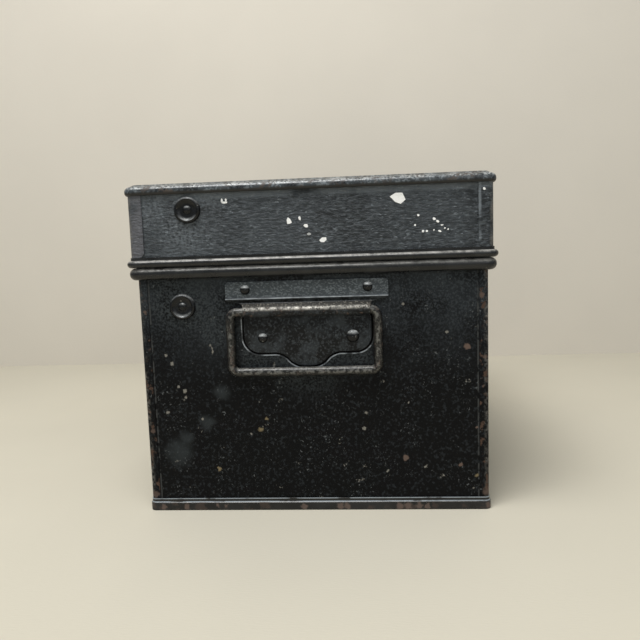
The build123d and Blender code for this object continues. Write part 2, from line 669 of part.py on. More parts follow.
def lock_bolt():
    """A sliding plate: its tongue enters the hoop, its talon is where the key's bit turns."""
    tail = tongue_tip - BOLT_REACH
    tongue = Pos((tongue_tip + tail) / 2, tongue_z) * Rectangle(BOLT_REACH, BOLT_TONGUE)
    plate_top = hoop_foot_z - HOOP_ROOM
    plate_foot = keyhole_z + TALON_RISE
    nose = -tail - BOLT_THROW - BOLT_END_ROOM
    plate_middle = Pos((tail + nose) / 2, (plate_top + plate_foot) / 2)
    plate = plate_middle * Rectangle(nose - tail, plate_top - plate_foot)
    neck_middle = Pos(tail + BOLT_NECK / 2, (tongue_z + plate_foot) / 2)
    neck = neck_middle * Rectangle(BOLT_NECK, tongue_z - plate_foot)
    outline = tongue + plate + neck
    outline -= Pos(-BOLT_THROW / 2, plate_foot) * Circle(TALON_RADIUS)
    slot_length = BOLT_THROW + 2 * (GUIDE_RADIUS + GUIDE_END_PLAY)
    for x in GUIDE_XS:
        slot = SlotOverall(slot_length, 2 * (GUIDE_RADIUS + GUIDE_FIT))
        outline -= Pos(x - BOLT_THROW / 2, guide_z) * slot
    return Pos(0, lock_middle_y, 0) * extrude(Plane.XZ * outline, BOLT_SHEET / 2, both=True)


def lock_spring():
    """A bowed leaf between the case and the bolt's tongue."""
    seat = case_top_z - CASE_SHEET - SPRING_SHEET / 2
    belly = tongue_z + BOLT_TONGUE / 2 + SPRING_GAP + SPRING_SHEET / 2
    start, end = tongue_tip - BOLT_REACH, tongue_tip - SPRING_TIP
    bow = ThreePointArc((start, seat), ((start + end) / 2, belly), (end, seat))
    strip = Plane.XZ * trace(bow, SPRING_SHEET)
    return Pos(0, lock_middle_y, 0) * extrude(strip, BOLT_SHEET / 2, both=True)


def lock_link():
    """A bracket inside the lid's front wall; its hoop drops into the case for the bolt."""
    face = -(lid_half_depth - SHEET)
    hoop_near, hoop_far = hoop_y_range()
    flange = slab((-LINK_HALF, LINK_HALF), (face, face + LINK_SHEET), (link_z, link_z + LINK_RISE))
    flange = fillet(flange.edges().filter_by(Axis.Y).group_by(Axis.Z)[-1], LINK_CORNER)
    shelf = slab((-LINK_HALF, LINK_HALF), (face, hoop_far), (link_z, link_z + LINK_SHEET))
    shelf = fillet(shelf.edges().filter_by(Axis.Z).group_by(Axis.Y)[-1], SHELF_CORNER)
    hoop = slab((-HOOP_HALF_SHEET, HOOP_HALF_SHEET), (hoop_near, hoop_far), (hoop_foot_z, link_z))
    hoop = fillet(hoop.edges().filter_by(Axis.X).group_by(Axis.Z)[0], HOOP_CORNER)
    window_half = BOLT_TONGUE / 2 + HOOP_PLAY
    window = slab((-PAST, PAST), (lock_middle_y - HOOP_WINDOW / 2, lock_middle_y + HOOP_WINDOW / 2),
                  (tongue_z - window_half, tongue_z + window_half))
    link = flange + shelf + hoop - window
    for x, z in link_rivets_xz:
        link -= drill_y(rivet_hole, x, z, face)
    return link


def link_rivets():
    pin = rivet(SMALL_HEAD, SMALL_HEAD_RISE, SHEET + LINK_SHEET)
    return [facing_front(pin, x, -lid_half_depth, z) for x, z in link_rivets_xz]


def keyhole_escutcheon():
    """A plain oval plate round the keyhole."""
    oval = SlotOverall(ESCUTCHEON_LENGTH, 2 * ESCUTCHEON_HALF, rotation=90)
    plate = extrude(Pos(0, ESCUTCHEON_SHIFT) * oval, ESCUTCHEON_SHEET)
    plate = chamfer(plate.faces().sort_by(Axis.Z)[-1].edges(), ESCUTCHEON_EASE)
    plate -= extrude(keyhole(), PAST, both=True)
    for y in escutcheon_pins_y:
        plate -= Pos(0, y) * extrude(Circle(PIN_RADIUS + RIVET_FIT), PAST, both=True)
    return facing_front(plate, 0, -half_depth, keyhole_z)


def escutcheon_pins():
    shank = extrude(Circle(PIN_RADIUS), -ESCUTCHEON_SHEET - SHEET)
    pin = dome(PIN_RADIUS + PIN_HEAD_MARGIN, PIN_HEAD_RISE) + shank
    face_y = -half_depth - ESCUTCHEON_SHEET
    return [facing_front(pin, 0, face_y, keyhole_z + y) for y in escutcheon_pins_y]


# ---- The pieces, one node each; what stands at both ends is drawn at +X and mirrored to -X
def both_ends(name, pieces):
    """A node for the right end and its mirror image for the left end."""
    return {
        f"{name}_right": pieces,
        f"{name}_left": [mirror(piece, about=Plane.YZ) for piece in pieces],
    }


def body_nodes():
    nodes = {
        "body_front_panel": [body_front_panel()],
        "body_back_panel": [body_back_panel()],
        "body_base": [body_base()],
        "body_rim": [body_rim()],
    }
    nodes.update(both_ends("body_end_panel", [body_end_panel()]))
    return nodes


def lid_nodes():
    nodes = {
        "lid_top": [lid_top()],
        "lid_front_wall": [lid_front_wall()],
        "lid_back_wall": [lid_back_wall()],
        "lid_hem": [lid_hem()],
        "lid_wire": [lid_wire()],
    }
    nodes.update(both_ends("lid_end_panel", [lid_end_panel()]))
    return nodes


def hinge_nodes():
    names = ("left", "middle", "right")
    nodes = {f"hinge_strap_{name}": [hinge_strap(x)] for name, x in zip(names, strap_xs)}
    nodes["hinge_rivets"] = hinge_rivets()
    return nodes


def handle_nodes():
    nodes = both_ends("handle_plate", [handle_plate()])
    nodes.update(both_ends("handle_rivets", handle_rivets()))
    nodes.update(both_ends("bail", [bail()]))
    return nodes


def stay_nodes():
    body_wall = half_length - SHEET, half_length
    lid_wall = lid_half_length - SHEET, lid_half_length
    nodes = both_ends("stay_arm", [stay_arm()])
    nodes.update(both_ends("stay_body_stud", [stay_stud(*body_wall, body_stud)]))
    nodes.update(both_ends("stay_lid_stud", [stay_stud(*lid_wall, lid_stud)]))
    nodes.update(both_ends("stay_body_washer", [cup_washer(half_length, body_stud)]))
    nodes.update(both_ends("stay_lid_washer", [cup_washer(lid_half_length, lid_stud)]))
    return nodes


def lock_nodes():
    return {
        "lock_case": [lock_case()],
        "lock_cap": [lock_cap()],
        "lock_bolt": [lock_bolt()],
        "lock_spring": [lock_spring()],
        "lock_rivets": lock_rivets(),
        "lock_link": [lock_link()],
        "link_rivets": link_rivets(),
        "keyhole_escutcheon": [keyhole_escutcheon()],
        "escutcheon_pins": escutcheon_pins(),
    }


nodes = {}
for group in (body_nodes, lid_nodes, hinge_nodes, handle_nodes, stay_nodes, lock_nodes):
    nodes.update(group())

os.makedirs("parts", exist_ok=True)
for name, pieces in nodes.items():
    solids = [solid for piece in pieces for solid in piece.solids()]
    shape = solids[0] if len(solids) == 1 else Compound(solids)
    export_step(shape, f"parts/{name}.step")
    print(f"{name}: {len(solids)} solid(s), {sum(solid.volume for solid in solids) / 1000:.2f} cm3")
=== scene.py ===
# %% [markdown]
# # A black japanned deed box
# The box is a sheet-metal chest for papers, seen from one end. Its lid has a rolled, wired edge that
# rests on a hollow bead round the body, and a wire bail hangs on the end in a pressed plate.
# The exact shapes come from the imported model, which is loaded first and never moved.

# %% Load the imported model
import random
from math import radians

import bmesh
import bpy
from mathutils import Matrix, Vector


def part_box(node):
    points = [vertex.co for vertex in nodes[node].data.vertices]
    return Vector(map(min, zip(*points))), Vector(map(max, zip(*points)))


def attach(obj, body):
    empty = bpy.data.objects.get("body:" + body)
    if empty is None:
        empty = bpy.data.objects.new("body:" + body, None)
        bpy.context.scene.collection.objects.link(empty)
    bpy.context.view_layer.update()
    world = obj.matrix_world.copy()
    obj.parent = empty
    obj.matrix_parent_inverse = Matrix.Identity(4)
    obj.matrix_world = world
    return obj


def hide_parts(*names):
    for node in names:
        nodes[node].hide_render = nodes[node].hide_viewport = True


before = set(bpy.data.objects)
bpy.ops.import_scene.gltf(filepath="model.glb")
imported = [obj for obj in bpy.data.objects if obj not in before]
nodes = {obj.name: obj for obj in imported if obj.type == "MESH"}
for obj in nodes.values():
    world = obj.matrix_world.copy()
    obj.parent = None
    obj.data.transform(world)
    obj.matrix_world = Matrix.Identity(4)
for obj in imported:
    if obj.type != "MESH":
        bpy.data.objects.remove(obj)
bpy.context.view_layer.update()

# %% [markdown]
# ## The camera
# The photograph was taken close to the left end of the box, a little above its middle. The place and
# the turns below come from fitting the edges of that end, so the camera is not aimed by eye.

# %% Camera at the photograph's viewpoint
PICTURE_PIXELS = 640
FOCAL_PIXELS = 640
SENSOR_WIDTH = 36.0
CAMERA_PLACE = Vector((-0.6255, -0.0398, 0.1936))
CAMERA_YAW, CAMERA_PITCH, CAMERA_ROLL = radians(-4.26), radians(6.74), radians(1.98)
# As columns: rightwards in the picture, upwards, and towards the camera.
END_VIEW_AXES = Matrix(((0, 0, -1), (-1, 0, 0), (0, 1, 0)))


def camera_matrix():
    turns = (Matrix.Rotation(CAMERA_ROLL, 3, "Z") @ Matrix.Rotation(CAMERA_PITCH, 3, "X")
             @ Matrix.Rotation(CAMERA_YAW, 3, "Y"))
    return Matrix.Translation(CAMERA_PLACE) @ (END_VIEW_AXES @ turns.transposed()).to_4x4()


camera = bpy.data.objects.new("camera", bpy.data.cameras.new("camera"))
camera.data.sensor_width = SENSOR_WIDTH
camera.data.lens = SENSOR_WIDTH * FOCAL_PIXELS / PICTURE_PIXELS
camera.matrix_world = camera_matrix()
bpy.context.scene.collection.objects.link(camera)
bpy.context.scene.camera = camera
bpy.context.scene.view_settings.view_transform = "Standard"
print("camera at", [round(value, 3) for value in camera.matrix_world.translation])

# %% [markdown]
# ## Helpers for node materials
# Each finish is a small network of nodes. These helpers add a node, set its inputs and join it up, so
# that a finish reads as a list of steps. A pattern's scale is given as the size of one of its features
# in millimetres, because that is how a maker would measure it on the box.


# %% Node helpers
def set_input(tree, socket, value):
    """Give a socket a number or a colour, or join it to an output."""
    if isinstance(value, bpy.types.NodeSocket):
        tree.links.new(value, socket)
    else:
        socket.default_value = value


def add_node(tree, kind, **inputs):
    """A node with some inputs set. A name such as _0 means the input with that number."""
    node = tree.nodes.new(kind)
    for name, value in inputs.items():
        key = int(name[1:]) if name[0] == "_" else name.replace("_", " ")
        set_input(tree, node.inputs[key], value)
    return node


def math_node(tree, operation, first, second=0.0, clamp=False):
    node = add_node(tree, "ShaderNodeMath", _0=first, _1=second)
    node.operation = operation
    node.use_clamp = clamp
    return node.outputs[0]


def vector_math(tree, operation, first, second=(0, 0, 0)):
    node = add_node(tree, "ShaderNodeVectorMath", _0=first, _1=second)
    node.operation = operation
    return node


def ramp(tree, value, low, high):
    """A smooth step: 0 where the value is at low, 1 where it is at high."""
    node = add_node(tree, "ShaderNodeMapRange", Value=value, From_Min=low, From_Max=high)
    node.interpolation_type = "SMOOTHSTEP"
    return node.outputs["Result"]


def mix(tree, share, low, high, colour=True):
    """Between two colours, or two numbers, by a mask."""
    node = tree.nodes.new("ShaderNodeMix")
    node.data_type = "RGBA" if colour else "FLOAT"
    first, second, result = (6, 7, 2) if colour else (2, 3, 0)
    for index, value in ((0, share), (first, low), (second, high)):
        set_input(tree, node.inputs[index], value)
    return node.outputs[result]


def both_masks(tree, first, second):
    return math_node(tree, "MULTIPLY", first, second)


def either_mask(tree, first, second):
    return math_node(tree, "MAXIMUM", first, second)


def per_metre(size_mm):
    """The scale of a pattern whose features are this many millimetres across."""
    return 1000.0 / size_mm


def noise(tree, vector, size_mm, detail=3.0, roughness=0.55, distortion=0.0):
    node = add_node(tree, "ShaderNodeTexNoise", Vector=vector, Scale=per_metre(size_mm),
                    Detail=detail, Roughness=roughness, Distortion=distortion)
    return node.outputs["Fac"]


def stretched(tree, vector, factors):
    """The same coordinates, squeezed along some axes, which stretches a pattern along the others."""
    return vector_math(tree, "MULTIPLY", vector, factors).outputs[0]


def shaken(tree, vector, scale, detail, push):
    """The same coordinates pushed about by an uneven pattern, which makes an outline ragged."""
    pattern = add_node(tree, "ShaderNodeTexNoise", Vector=vector, Scale=scale, Detail=detail)
    centred = vector_math(tree, "SUBTRACT", pattern.outputs["Color"], (0.5, 0.5, 0.5))
    pushed = vector_math(tree, "SCALE", centred.outputs[0])
    set_input(tree, pushed.inputs["Scale"], push)
    return vector_math(tree, "ADD", vector, pushed.outputs[0]).outputs[0]


# %% [markdown]
# ## Wear and painted highlights shared by several finishes
# Chips, specks and rust are the same thing at different sizes: ragged spots, of which only some are
# there. Rubbing shows on whatever stands up, so it follows the direction that a surface faces, and the
# same mask also paints highlights on what faces up. Each is a node group with named inputs, and each
# finish places it with values of its own.


# %% A group's sockets
def start_group(name, **inputs):
    """A new node group that makes a mask from a Vector and other inputs, each given with a default."""
    tree = bpy.data.node_groups.new(name, "ShaderNodeTree")
    for label, default in {"Vector": (0.0, 0.0, 0.0), **inputs}.items():
        kind = "NodeSocketVector" if isinstance(default, tuple) else "NodeSocketFloat"
        socket = tree.interface.new_socket(label.replace("_", " "), in_out="INPUT", socket_type=kind)
        socket.default_value = default
    tree.interface.new_socket("Mask", in_out="OUTPUT", socket_type="NodeSocketFloat")
    return tree, tree.nodes.new("NodeGroupInput").outputs, tree.nodes.new("NodeGroupOutput").inputs["Mask"]


def place_group(tree, group, **inputs):
    """Put a shared group into a material; gives back its mask."""
    node = tree.nodes.new("ShaderNodeGroup")
    node.node_tree = group
    for label, value in inputs.items():
        set_input(tree, node.inputs[label.replace("_", " ")], value)
    return node.outputs["Mask"]


# %% Ragged spots
def ragged_spots_group():
    """Spots in a jumble of cells. Share is how many cells have one, Size its radius in cells."""
    tree, given, result = start_group("ragged_spots", Scale=200.0, Share=0.5, Size=0.3, Ragged=0.5)
    scaled = vector_math(tree, "SCALE", given["Vector"])
    set_input(tree, scaled.inputs["Scale"], given["Scale"])
    moved = shaken(tree, scaled.outputs[0], 2.5, 2.0, given["Ragged"])
    cells = add_node(tree, "ShaderNodeTexVoronoi", Vector=moved, Scale=1.0)
    chance = add_node(tree, "ShaderNodeSeparateColor", _0=cells.outputs["Color"])
    there = math_node(tree, "LESS_THAN", chance.outputs[0], given["Share"])
    spread = ramp(tree, chance.outputs[1], -0.3, 1.0)
    radius = math_node(tree, "MULTIPLY", given["Size"], spread)
    edge = math_node(tree, "SUBTRACT", radius, cells.outputs["Distance"])
    soft = math_node(tree, "DIVIDE", edge, math_node(tree, "MULTIPLY", given["Size"], 0.35), clamp=True)
    set_input(tree, result, both_masks(tree, soft, there))
    return tree


RAGGED_SPOTS = ragged_spots_group()
print("group", RAGGED_SPOTS.name, "with", len(RAGGED_SPOTS.nodes), "nodes")


# %% Rubbed tops and painted highlights
def lit_and_rubbed_tops_group():
    """Where a surface faces up, broken by an uneven pattern: the tops of beads, rolls and rims."""
    tree, given, result = start_group("lit_and_rubbed_tops", Normal=(0.0, 0.0, 1.0), Scale=100.0, Low=0.1, High=0.8,
                                      Breaks=0.5)
    up = add_node(tree, "ShaderNodeSeparateXYZ", _0=given["Normal"]).outputs["Z"]
    wear = ramp(tree, up, given["Low"], given["High"])
    uneven = add_node(tree, "ShaderNodeTexNoise", Vector=given["Vector"], Scale=given["Scale"],
                      Detail=4.0, Roughness=0.65)
    patches = ramp(tree, uneven.outputs["Fac"], 0.35, 0.65)
    kept = mix(tree, given["Breaks"], 1.0, patches, colour=False)
    set_input(tree, result, both_masks(tree, wear, kept))
    return tree


LIT_AND_RUBBED_TOPS = lit_and_rubbed_tops_group()
print("group", LIT_AND_RUBBED_TOPS.name, "with", len(LIT_AND_RUBBED_TOPS.nodes), "nodes")


# %% Rubbed upright corners
def rubbed_corners_group():
    """Where a surface is near one of the box's four upright corners, within Reach."""
    tree, given, result = start_group("rubbed_corners", Half_Length=0.17, Half_Depth=0.12, Reach=0.004,
                                      Scale=150.0)
    place = add_node(tree, "ShaderNodeSeparateXYZ", _0=given["Vector"])
    near = []
    for axis, half in (("X", "Half Length"), ("Y", "Half Depth")):
        inwards = math_node(tree, "SUBTRACT", given[half],
                            math_node(tree, "ABSOLUTE", place.outputs[axis]))
        share = math_node(tree, "DIVIDE", inwards, given["Reach"], clamp=True)
        near.append(math_node(tree, "SUBTRACT", 1.0, share))
    uneven = add_node(tree, "ShaderNodeTexNoise", Vector=given["Vector"], Scale=given["Scale"], Detail=4.0)
    patches = ramp(tree, uneven.outputs["Fac"], 0.38, 0.62)
    set_input(tree, result, both_masks(tree, both_masks(tree, *near), patches))
    return tree


RUBBED_CORNERS = rubbed_corners_group()
print("group", RUBBED_CORNERS.name, "with", len(RUBBED_CORNERS.nodes), "nodes")

# %% [markdown]
# ## Building up a finish in layers
# A painter works from the metal outwards, but wear is easier to describe from the paint inwards: the
# sound japan first, then the haze on it, then what has rubbed or rusted through. Each layer has a mask
# that says where it lies, and covers what came before it there.


# %% A finish made of layers
class Finish:
    """A material that gathers layers, and joins them to its shader when it is closed."""

    def __init__(self, name, colour, roughness, metallic=0.0, specular=0.5):
        self.material = bpy.data.materials.new(name)
        self.material.use_nodes = True
        self.tree = self.material.node_tree
        self.shader = self.tree.nodes["Principled BSDF"]
        self.shader.inputs["Specular IOR Level"].default_value = specular
        self.colour, self.roughness, self.metallic = (*colour, 1.0), roughness, metallic
        place = self.tree.nodes.new("ShaderNodeTexCoord")
        self.place, self.facing = place.outputs["Object"], place.outputs["Normal"]
        self.bumps = []

    def layer(self, masks, colour, roughness=None, metallic=None):
        """Cover what is there, where a mask or all of a list of masks and shares lets it."""
        mask = self.times(*masks) if isinstance(masks, list) else masks
        self.colour = mix(self.tree, mask, self.colour, (*colour, 1.0))
        if roughness is not None:
            self.roughness = mix(self.tree, mask, self.roughness, roughness, colour=False)
        if metallic is not None:
            self.metallic = mix(self.tree, mask, self.metallic, metallic, colour=False)

    def bump(self, height, depth_mm, strength):
        """Raise the surface where the height is 1, by about this much."""
        self.bumps.append((height, depth_mm / 1000.0, strength))

    def uneven(self, size_mm, detail, depth_mm, strength, roughness=0.55):
        """Raise the surface by a pattern whose features are this size."""
        self.bump(noise(self.tree, self.place, size_mm, detail, roughness), depth_mm, strength)

    def close(self):
        for name, value in (("Base Color", self.colour), ("Roughness", self.roughness),
                            ("Metallic", self.metallic)):
            set_input(self.tree, self.shader.inputs[name], value)
        normal = None
        for height, depth, strength in self.bumps:
            node = add_node(self.tree, "ShaderNodeBump", Height=height, Distance=depth, Strength=strength)
            if normal is not None:
                set_input(self.tree, node.inputs["Normal"], normal)
            normal = node.outputs["Normal"]
        if normal is not None:
            set_input(self.tree, self.shader.inputs["Normal"], normal)
        return self.material

    # Masks that many finishes use
    def patches(self, size_mm, low, high, detail=3.0, squeeze=None, distortion=0.0):
        vector = self.place if squeeze is None else stretched(self.tree, self.place, squeeze)
        return ramp(self.tree, noise(self.tree, vector, size_mm, detail, distortion=distortion), low, high)

    def spots(self, cell_mm, share, size, ragged=0.6):
        return place_group(self.tree, RAGGED_SPOTS, Vector=self.place, Scale=per_metre(cell_mm),
                           Share=share, Size=size, Ragged=ragged)

    def tops(self, size_mm, low, high, breaks):
        return place_group(self.tree, LIT_AND_RUBBED_TOPS, Vector=self.place, Normal=self.facing,
                           Scale=per_metre(size_mm), Low=low, High=high, Breaks=breaks)

    def corners(self, half_length, half_depth, reach, size_mm):
        return place_group(self.tree, RUBBED_CORNERS, Vector=self.place, Half_Length=half_length,
                           Half_Depth=half_depth, Reach=reach, Scale=per_metre(size_mm))

    # Places, directions and masks made from them
    def along(self, axis):
        return add_node(self.tree, "ShaderNodeSeparateXYZ", _0=self.place).outputs[axis]

    def facing_along(self, axis):
        return add_node(self.tree, "ShaderNodeSeparateXYZ", _0=self.facing).outputs[axis]

    def from_middle(self, axis):
        return math_node(self.tree, "ABSOLUTE", self.along(axis))

    def step(self, axis, low, high):
        """0 where an axis is at low, 1 where it is at high."""
        return ramp(self.tree, self.along(axis), low, high)

    def close_to(self, value, middle, far, near):
        """1 where a value is within near of its middle, 0 beyond far."""
        away = math_node(self.tree, "ABSOLUTE", math_node(self.tree, "SUBTRACT", value, middle))
        return ramp(self.tree, away, far, near)

    def times(self, *masks):
        result = masks[0]
        for mask in masks[1:]:
            result = both_masks(self.tree, result, mask)
        return result


# %% [markdown]
# ## Floor, backdrop and light
# The box stood on pale linen with a linen wall close behind. A plain pale floor and backdrop give the
# dark japan the same surroundings to reflect. The light is soft and comes from above, a little to the
# left. The backdrop can't be seen from behind, so that the box can be looked at from every side.

# %% Floor and backdrop
FLOOR_COLOUR = (0.62, 0.575, 0.47)
WALL_COLOUR = (0.69, 0.64, 0.555)
FLOOR_HALF = 3.0
WALL_X = 0.44
CLOTH_MOTTLE_MM = 220.0
THREAD_SQUEEZE = (1.0, 0.25, 1.0)


def cloth(name, colour):
    """Pale linen: nearly plain, with a faint mottle and a fine uneven thread."""
    finish = Finish(name, colour, 0.95, specular=0.1)
    darker = tuple(channel * 0.97 for channel in colour)
    finish.layer(finish.patches(CLOTH_MOTTLE_MM, 0.3, 0.7), darker)
    threads = noise(finish.tree, stretched(finish.tree, finish.place, THREAD_SQUEEZE), 1.2, 2.0)
    finish.bump(threads, 0.25, 0.5)
    return finish.close()


def mesh_object(name, shape, materials):
    """Put a finished bmesh into the scene."""
    mesh = bpy.data.meshes.new(name)
    shape.to_mesh(mesh)
    shape.free()
    for material in materials:
        mesh.materials.append(material)
    made = bpy.data.objects.new(name, mesh)
    bpy.context.scene.collection.objects.link(made)
    return made


def flat_sheet(name, material):
    shape = bmesh.new()
    bmesh.ops.create_grid(shape, x_segments=1, y_segments=1, size=FLOOR_HALF)
    sheet = mesh_object(name, shape, [material])
    return sheet


def clear_from_behind(material):
    """Let a sheet be looked through from its back."""
    tree = material.node_tree
    shader = tree.nodes["Principled BSDF"]
    back = tree.nodes.new("ShaderNodeNewGeometry").outputs["Backfacing"]
    both = add_node(tree, "ShaderNodeMixShader", _0=back, _1=shader.outputs[0],
                    _2=tree.nodes.new("ShaderNodeBsdfTransparent").outputs[0])
    tree.links.new(both.outputs[0], tree.nodes["Material Output"].inputs["Surface"])


flat_sheet("floor", cloth("floor_linen", FLOOR_COLOUR))
wall = flat_sheet("wall", cloth("wall_linen", WALL_COLOUR))
clear_from_behind(wall.data.materials[0])
wall.matrix_world = Matrix.Translation((WALL_X, 0, 0)) @ Matrix.Rotation(radians(-90), 4, "Y")


# %% Lamps and world
# Name, place, target, size and watts of each lamp.
LAMPS = [("top_lamp", (-0.6, 0.24, 1.45), (-0.1, 0, 0.1), 0.75, 19.5),
         ("front_lamp", (-1.7, -0.9, 1.1), (0, 0, 0.1), 1.2, 4)]
SKY_COLOUR = (0.88, 0.95, 1.0, 1)
SKY_STRENGTH = 0.42


def area_lamp(name, place, target, size, watts):
    lamp = bpy.data.lights.new(name, "AREA")
    lamp.size = size
    lamp.energy = watts
    holder = bpy.data.objects.new(name, lamp)
    direction = Vector(target) - Vector(place)
    holder.matrix_world = Matrix.Translation(place) @ direction.to_track_quat("-Z", "Y").to_matrix().to_4x4()
    bpy.context.scene.collection.objects.link(holder)


for lamp_facts in LAMPS:
    area_lamp(*lamp_facts)
world = bpy.data.worlds.new("studio")
world.use_nodes = True
sky = world.node_tree.nodes["Background"]
sky.inputs["Color"].default_value = SKY_COLOUR
sky.inputs["Strength"].default_value = SKY_STRENGTH
bpy.context.scene.world = world
print(len(LAMPS), "lamps and an even sky")

# %% [markdown]
# ## The japan on the body
# Japan is a baked black varnish. On the body it is nearly black, with fine light specks where it has
# chipped, a film of dust towards the top and a few rust spots. The marks on the photographed end are
# placed one by one, in millimetres from the middle of the box and up from the table.

# %% Colours and marks of the body
BLACK = (0.0048, 0.0050, 0.0054)
DUST = (0.050, 0.058, 0.064)
SPECK = (0.17, 0.18, 0.18)
CHIP = (0.26, 0.245, 0.21)
RUST = (0.080, 0.050, 0.036)
RUST_PALE = (0.125, 0.088, 0.070)
OCHRE = (0.19, 0.15, 0.085)
# Smudges on the body, and a painted sheen round the handle plate.
BLOOM_AND_SHEEN = (0.040, 0.046, 0.048)
WORN_METAL = (0.36, 0.34, 0.30)
LAP_EDGE_PALE = (0.060, 0.062, 0.060)
# In metres: the photographed end's skin, the laps' edges and corners, and where the dust thickens.
END_INSIDE_X, END_OUTSIDE_X = -0.171, -0.173
LAP_EDGE_Y = 0.11695
WRAP_LAP_X = (0.1740, 0.1748)
BODY_CORNER = (0.1753, 0.12435)
DUSTY_Z = (0.09, 0.18)

BODY_RUST = [(-109.4, 118.7, 2.7), (-65.1, 38.2, 2.7), (-104.5, 32.6, 1.9), (-115.9, 60.0, 1.2)]
BODY_OCHRE = [(39.7, 60.7, 2.3), (-115.9, 24.6, 1.8), (35.2, 68.8, 1.5), (72.0, 31.0, 1.8)]
BODY_CHIPS = [(103.0, 110.7, 1.7), (107.2, 117.0, 1.4), (99.1, 93.5, 1.2), (94.8, 90.2, 1.7),
              (94.2, 85.7, 1.5), (108.5, 74.5, 1.5), (82.5, 69.2, 1.2), (-65.1, 150.0, 1.2),
              (-95.4, 129.3, 1.3), (47.0, 57.5, 1.0), (-35.6, 60.6, 1.7), (-37.6, 72.0, 1.4)]
BODY_BLOOM = [(101.2, 44.3, 13.5), (79.0, 66.3, 7.5), (68.0, 89.2, 8.5), (96.0, 54.0, 7.0)]
# Painted sheen on the panel round the handle plate.
APRON_PAINTED_SHEEN = [(3.0, 117.0, 40.0), (40.0, 112.0, 16.0), (-34.0, 112.0, 16.0), (92.0, 160.0, 34.0),
               (66.0, 136.0, 20.0)]
LAP_RUST = [(120.5, 149.1, 1.6), (121.9, 75.4, 1.5), (120.1, 60.7, 2.4), (121.5, 12.3, 3.2),
            (-119.5, 154.8, 2.2), (-122.2, 111.2, 2.2), (-120.4, 90.4, 1.2), (-123.0, 13.2, 4.2)]


# %% Marks placed one by one
def on_left_end(finish):
    return finish.step("X", END_INSIDE_X, END_OUTSIDE_X)


def placed_marks(finish, marks, soft=0.45, ragged_mm=3.2, waver_mm=2.4):
    """Ragged marks on the left end, each given as its place and radius in millimetres."""
    tree = finish.tree
    wavering = shaken(tree, finish.place, per_metre(waver_mm), 3.0, ragged_mm / 1000.0)
    flat = vector_math(tree, "MULTIPLY", wavering, (0, 1, 1)).outputs[0]
    mask = None
    for y, z, radius in marks:
        away = vector_math(tree, "DISTANCE", flat, (0, y / 1000.0, z / 1000.0)).outputs["Value"]
        spot = ramp(tree, away, radius / 1000.0, radius * (1 - soft) / 1000.0)
        mask = spot if mask is None else either_mask(tree, mask, spot)
    return both_masks(tree, mask, on_left_end(finish))


# %% Sound japan with its specks
def japan(name):
    """Body japan before its own marks: black, dusty towards the top, specked and slightly uneven."""
    finish = Finish(name, BLACK, 0.34, specular=0.08)
    height = finish.step("Z", *DUSTY_Z)
    finish.layer([height, finish.patches(45.0, 0.3, 0.7), 0.65], DUST, 0.5)
    finish.layer([height, finish.patches(1.4, 0.49, 0.60, 4.0), 0.65], DUST, 0.5)
    finish.layer([finish.patches(2.2, 0.52, 0.66, 5.0), 0.30], DUST, 0.46)
    finish.layer([finish.patches(20.0, 0.46, 0.62), finish.patches(1.7, 0.61, 0.70, 5.0), 0.6], SPECK, 0.55)
    finish.layer([finish.patches(26.0, 0.52, 0.62), finish.spots(5.5, 0.45, 0.22, 1.8), 0.55], SPECK, 0.6)
    finish.layer([finish.spots(15.0, 0.42, 0.16, 0.9), finish.patches(1.6, 0.46, 0.58, 4.0), 0.8], CHIP, 0.65)
    finish.uneven(1.6, 3.0, 0.06, 0.6)
    finish.uneven(38.0, 1.0, 0.9, 0.35)
    return finish


# %% Body panels
def body_panel_finish():
    finish = japan("black_japan_body")
    finish.layer([placed_marks(finish, BODY_BLOOM, 0.85, 13.0, 14.0), 0.6], BLOOM_AND_SHEEN, 0.5)
    grain = finish.patches(1.4, 0.38, 0.62, 4.0)
    # Painted sheen round the handle plate.
    finish.layer([placed_marks(finish, APRON_PAINTED_SHEEN, 0.6, 8.0, 11.0), grain, 0.9], BLOOM_AND_SHEEN, 0.45)
    lap_edge = finish.close_to(finish.from_middle("Y"), LAP_EDGE_Y, 0.0008, 0.0003)
    finish.layer([lap_edge, finish.patches(6.0, 0.38, 0.52, 4.0), 0.8], LAP_EDGE_PALE, 0.45)
    finish.layer([placed_marks(finish, BODY_CHIPS, 0.5, 2.6, 1.4), 0.75], CHIP, 0.7)
    finish.layer(placed_marks(finish, BODY_OCHRE, 0.6), OCHRE, 0.75)
    finish.layer(placed_marks(finish, BODY_RUST), RUST_PALE, 0.8)
    return finish.close()


def body_wrap_finish():
    """Long panels: the same japan, rubbed and rusted where they turn the corners onto the ends."""
    finish = japan("black_japan_wrap")
    finish.layer([finish.corners(*BODY_CORNER, 0.0040, 12.0), finish.patches(2.4, 0.42, 0.60, 5.0), 0.6],
                 WORN_METAL, 0.5, 0.3)
    lap = ramp(finish.tree, finish.from_middle("X"), *WRAP_LAP_X)
    finish.layer([lap, finish.patches(6.0, 0.56, 0.66, 4.0)], RUST, 0.8)
    finish.layer([placed_marks(finish, LAP_RUST, 0.6, 5.0, 3.5), 0.7], RUST_PALE, 0.82)
    return finish.close()


# %% [markdown]
# ## The japan on the lid
# The lid is handled more than the body, so its japan has gone greyer and bluer, with a fine crinkle
# that runs along it. The crinkle is a pattern stretched sideways, used both as relief and as colour.

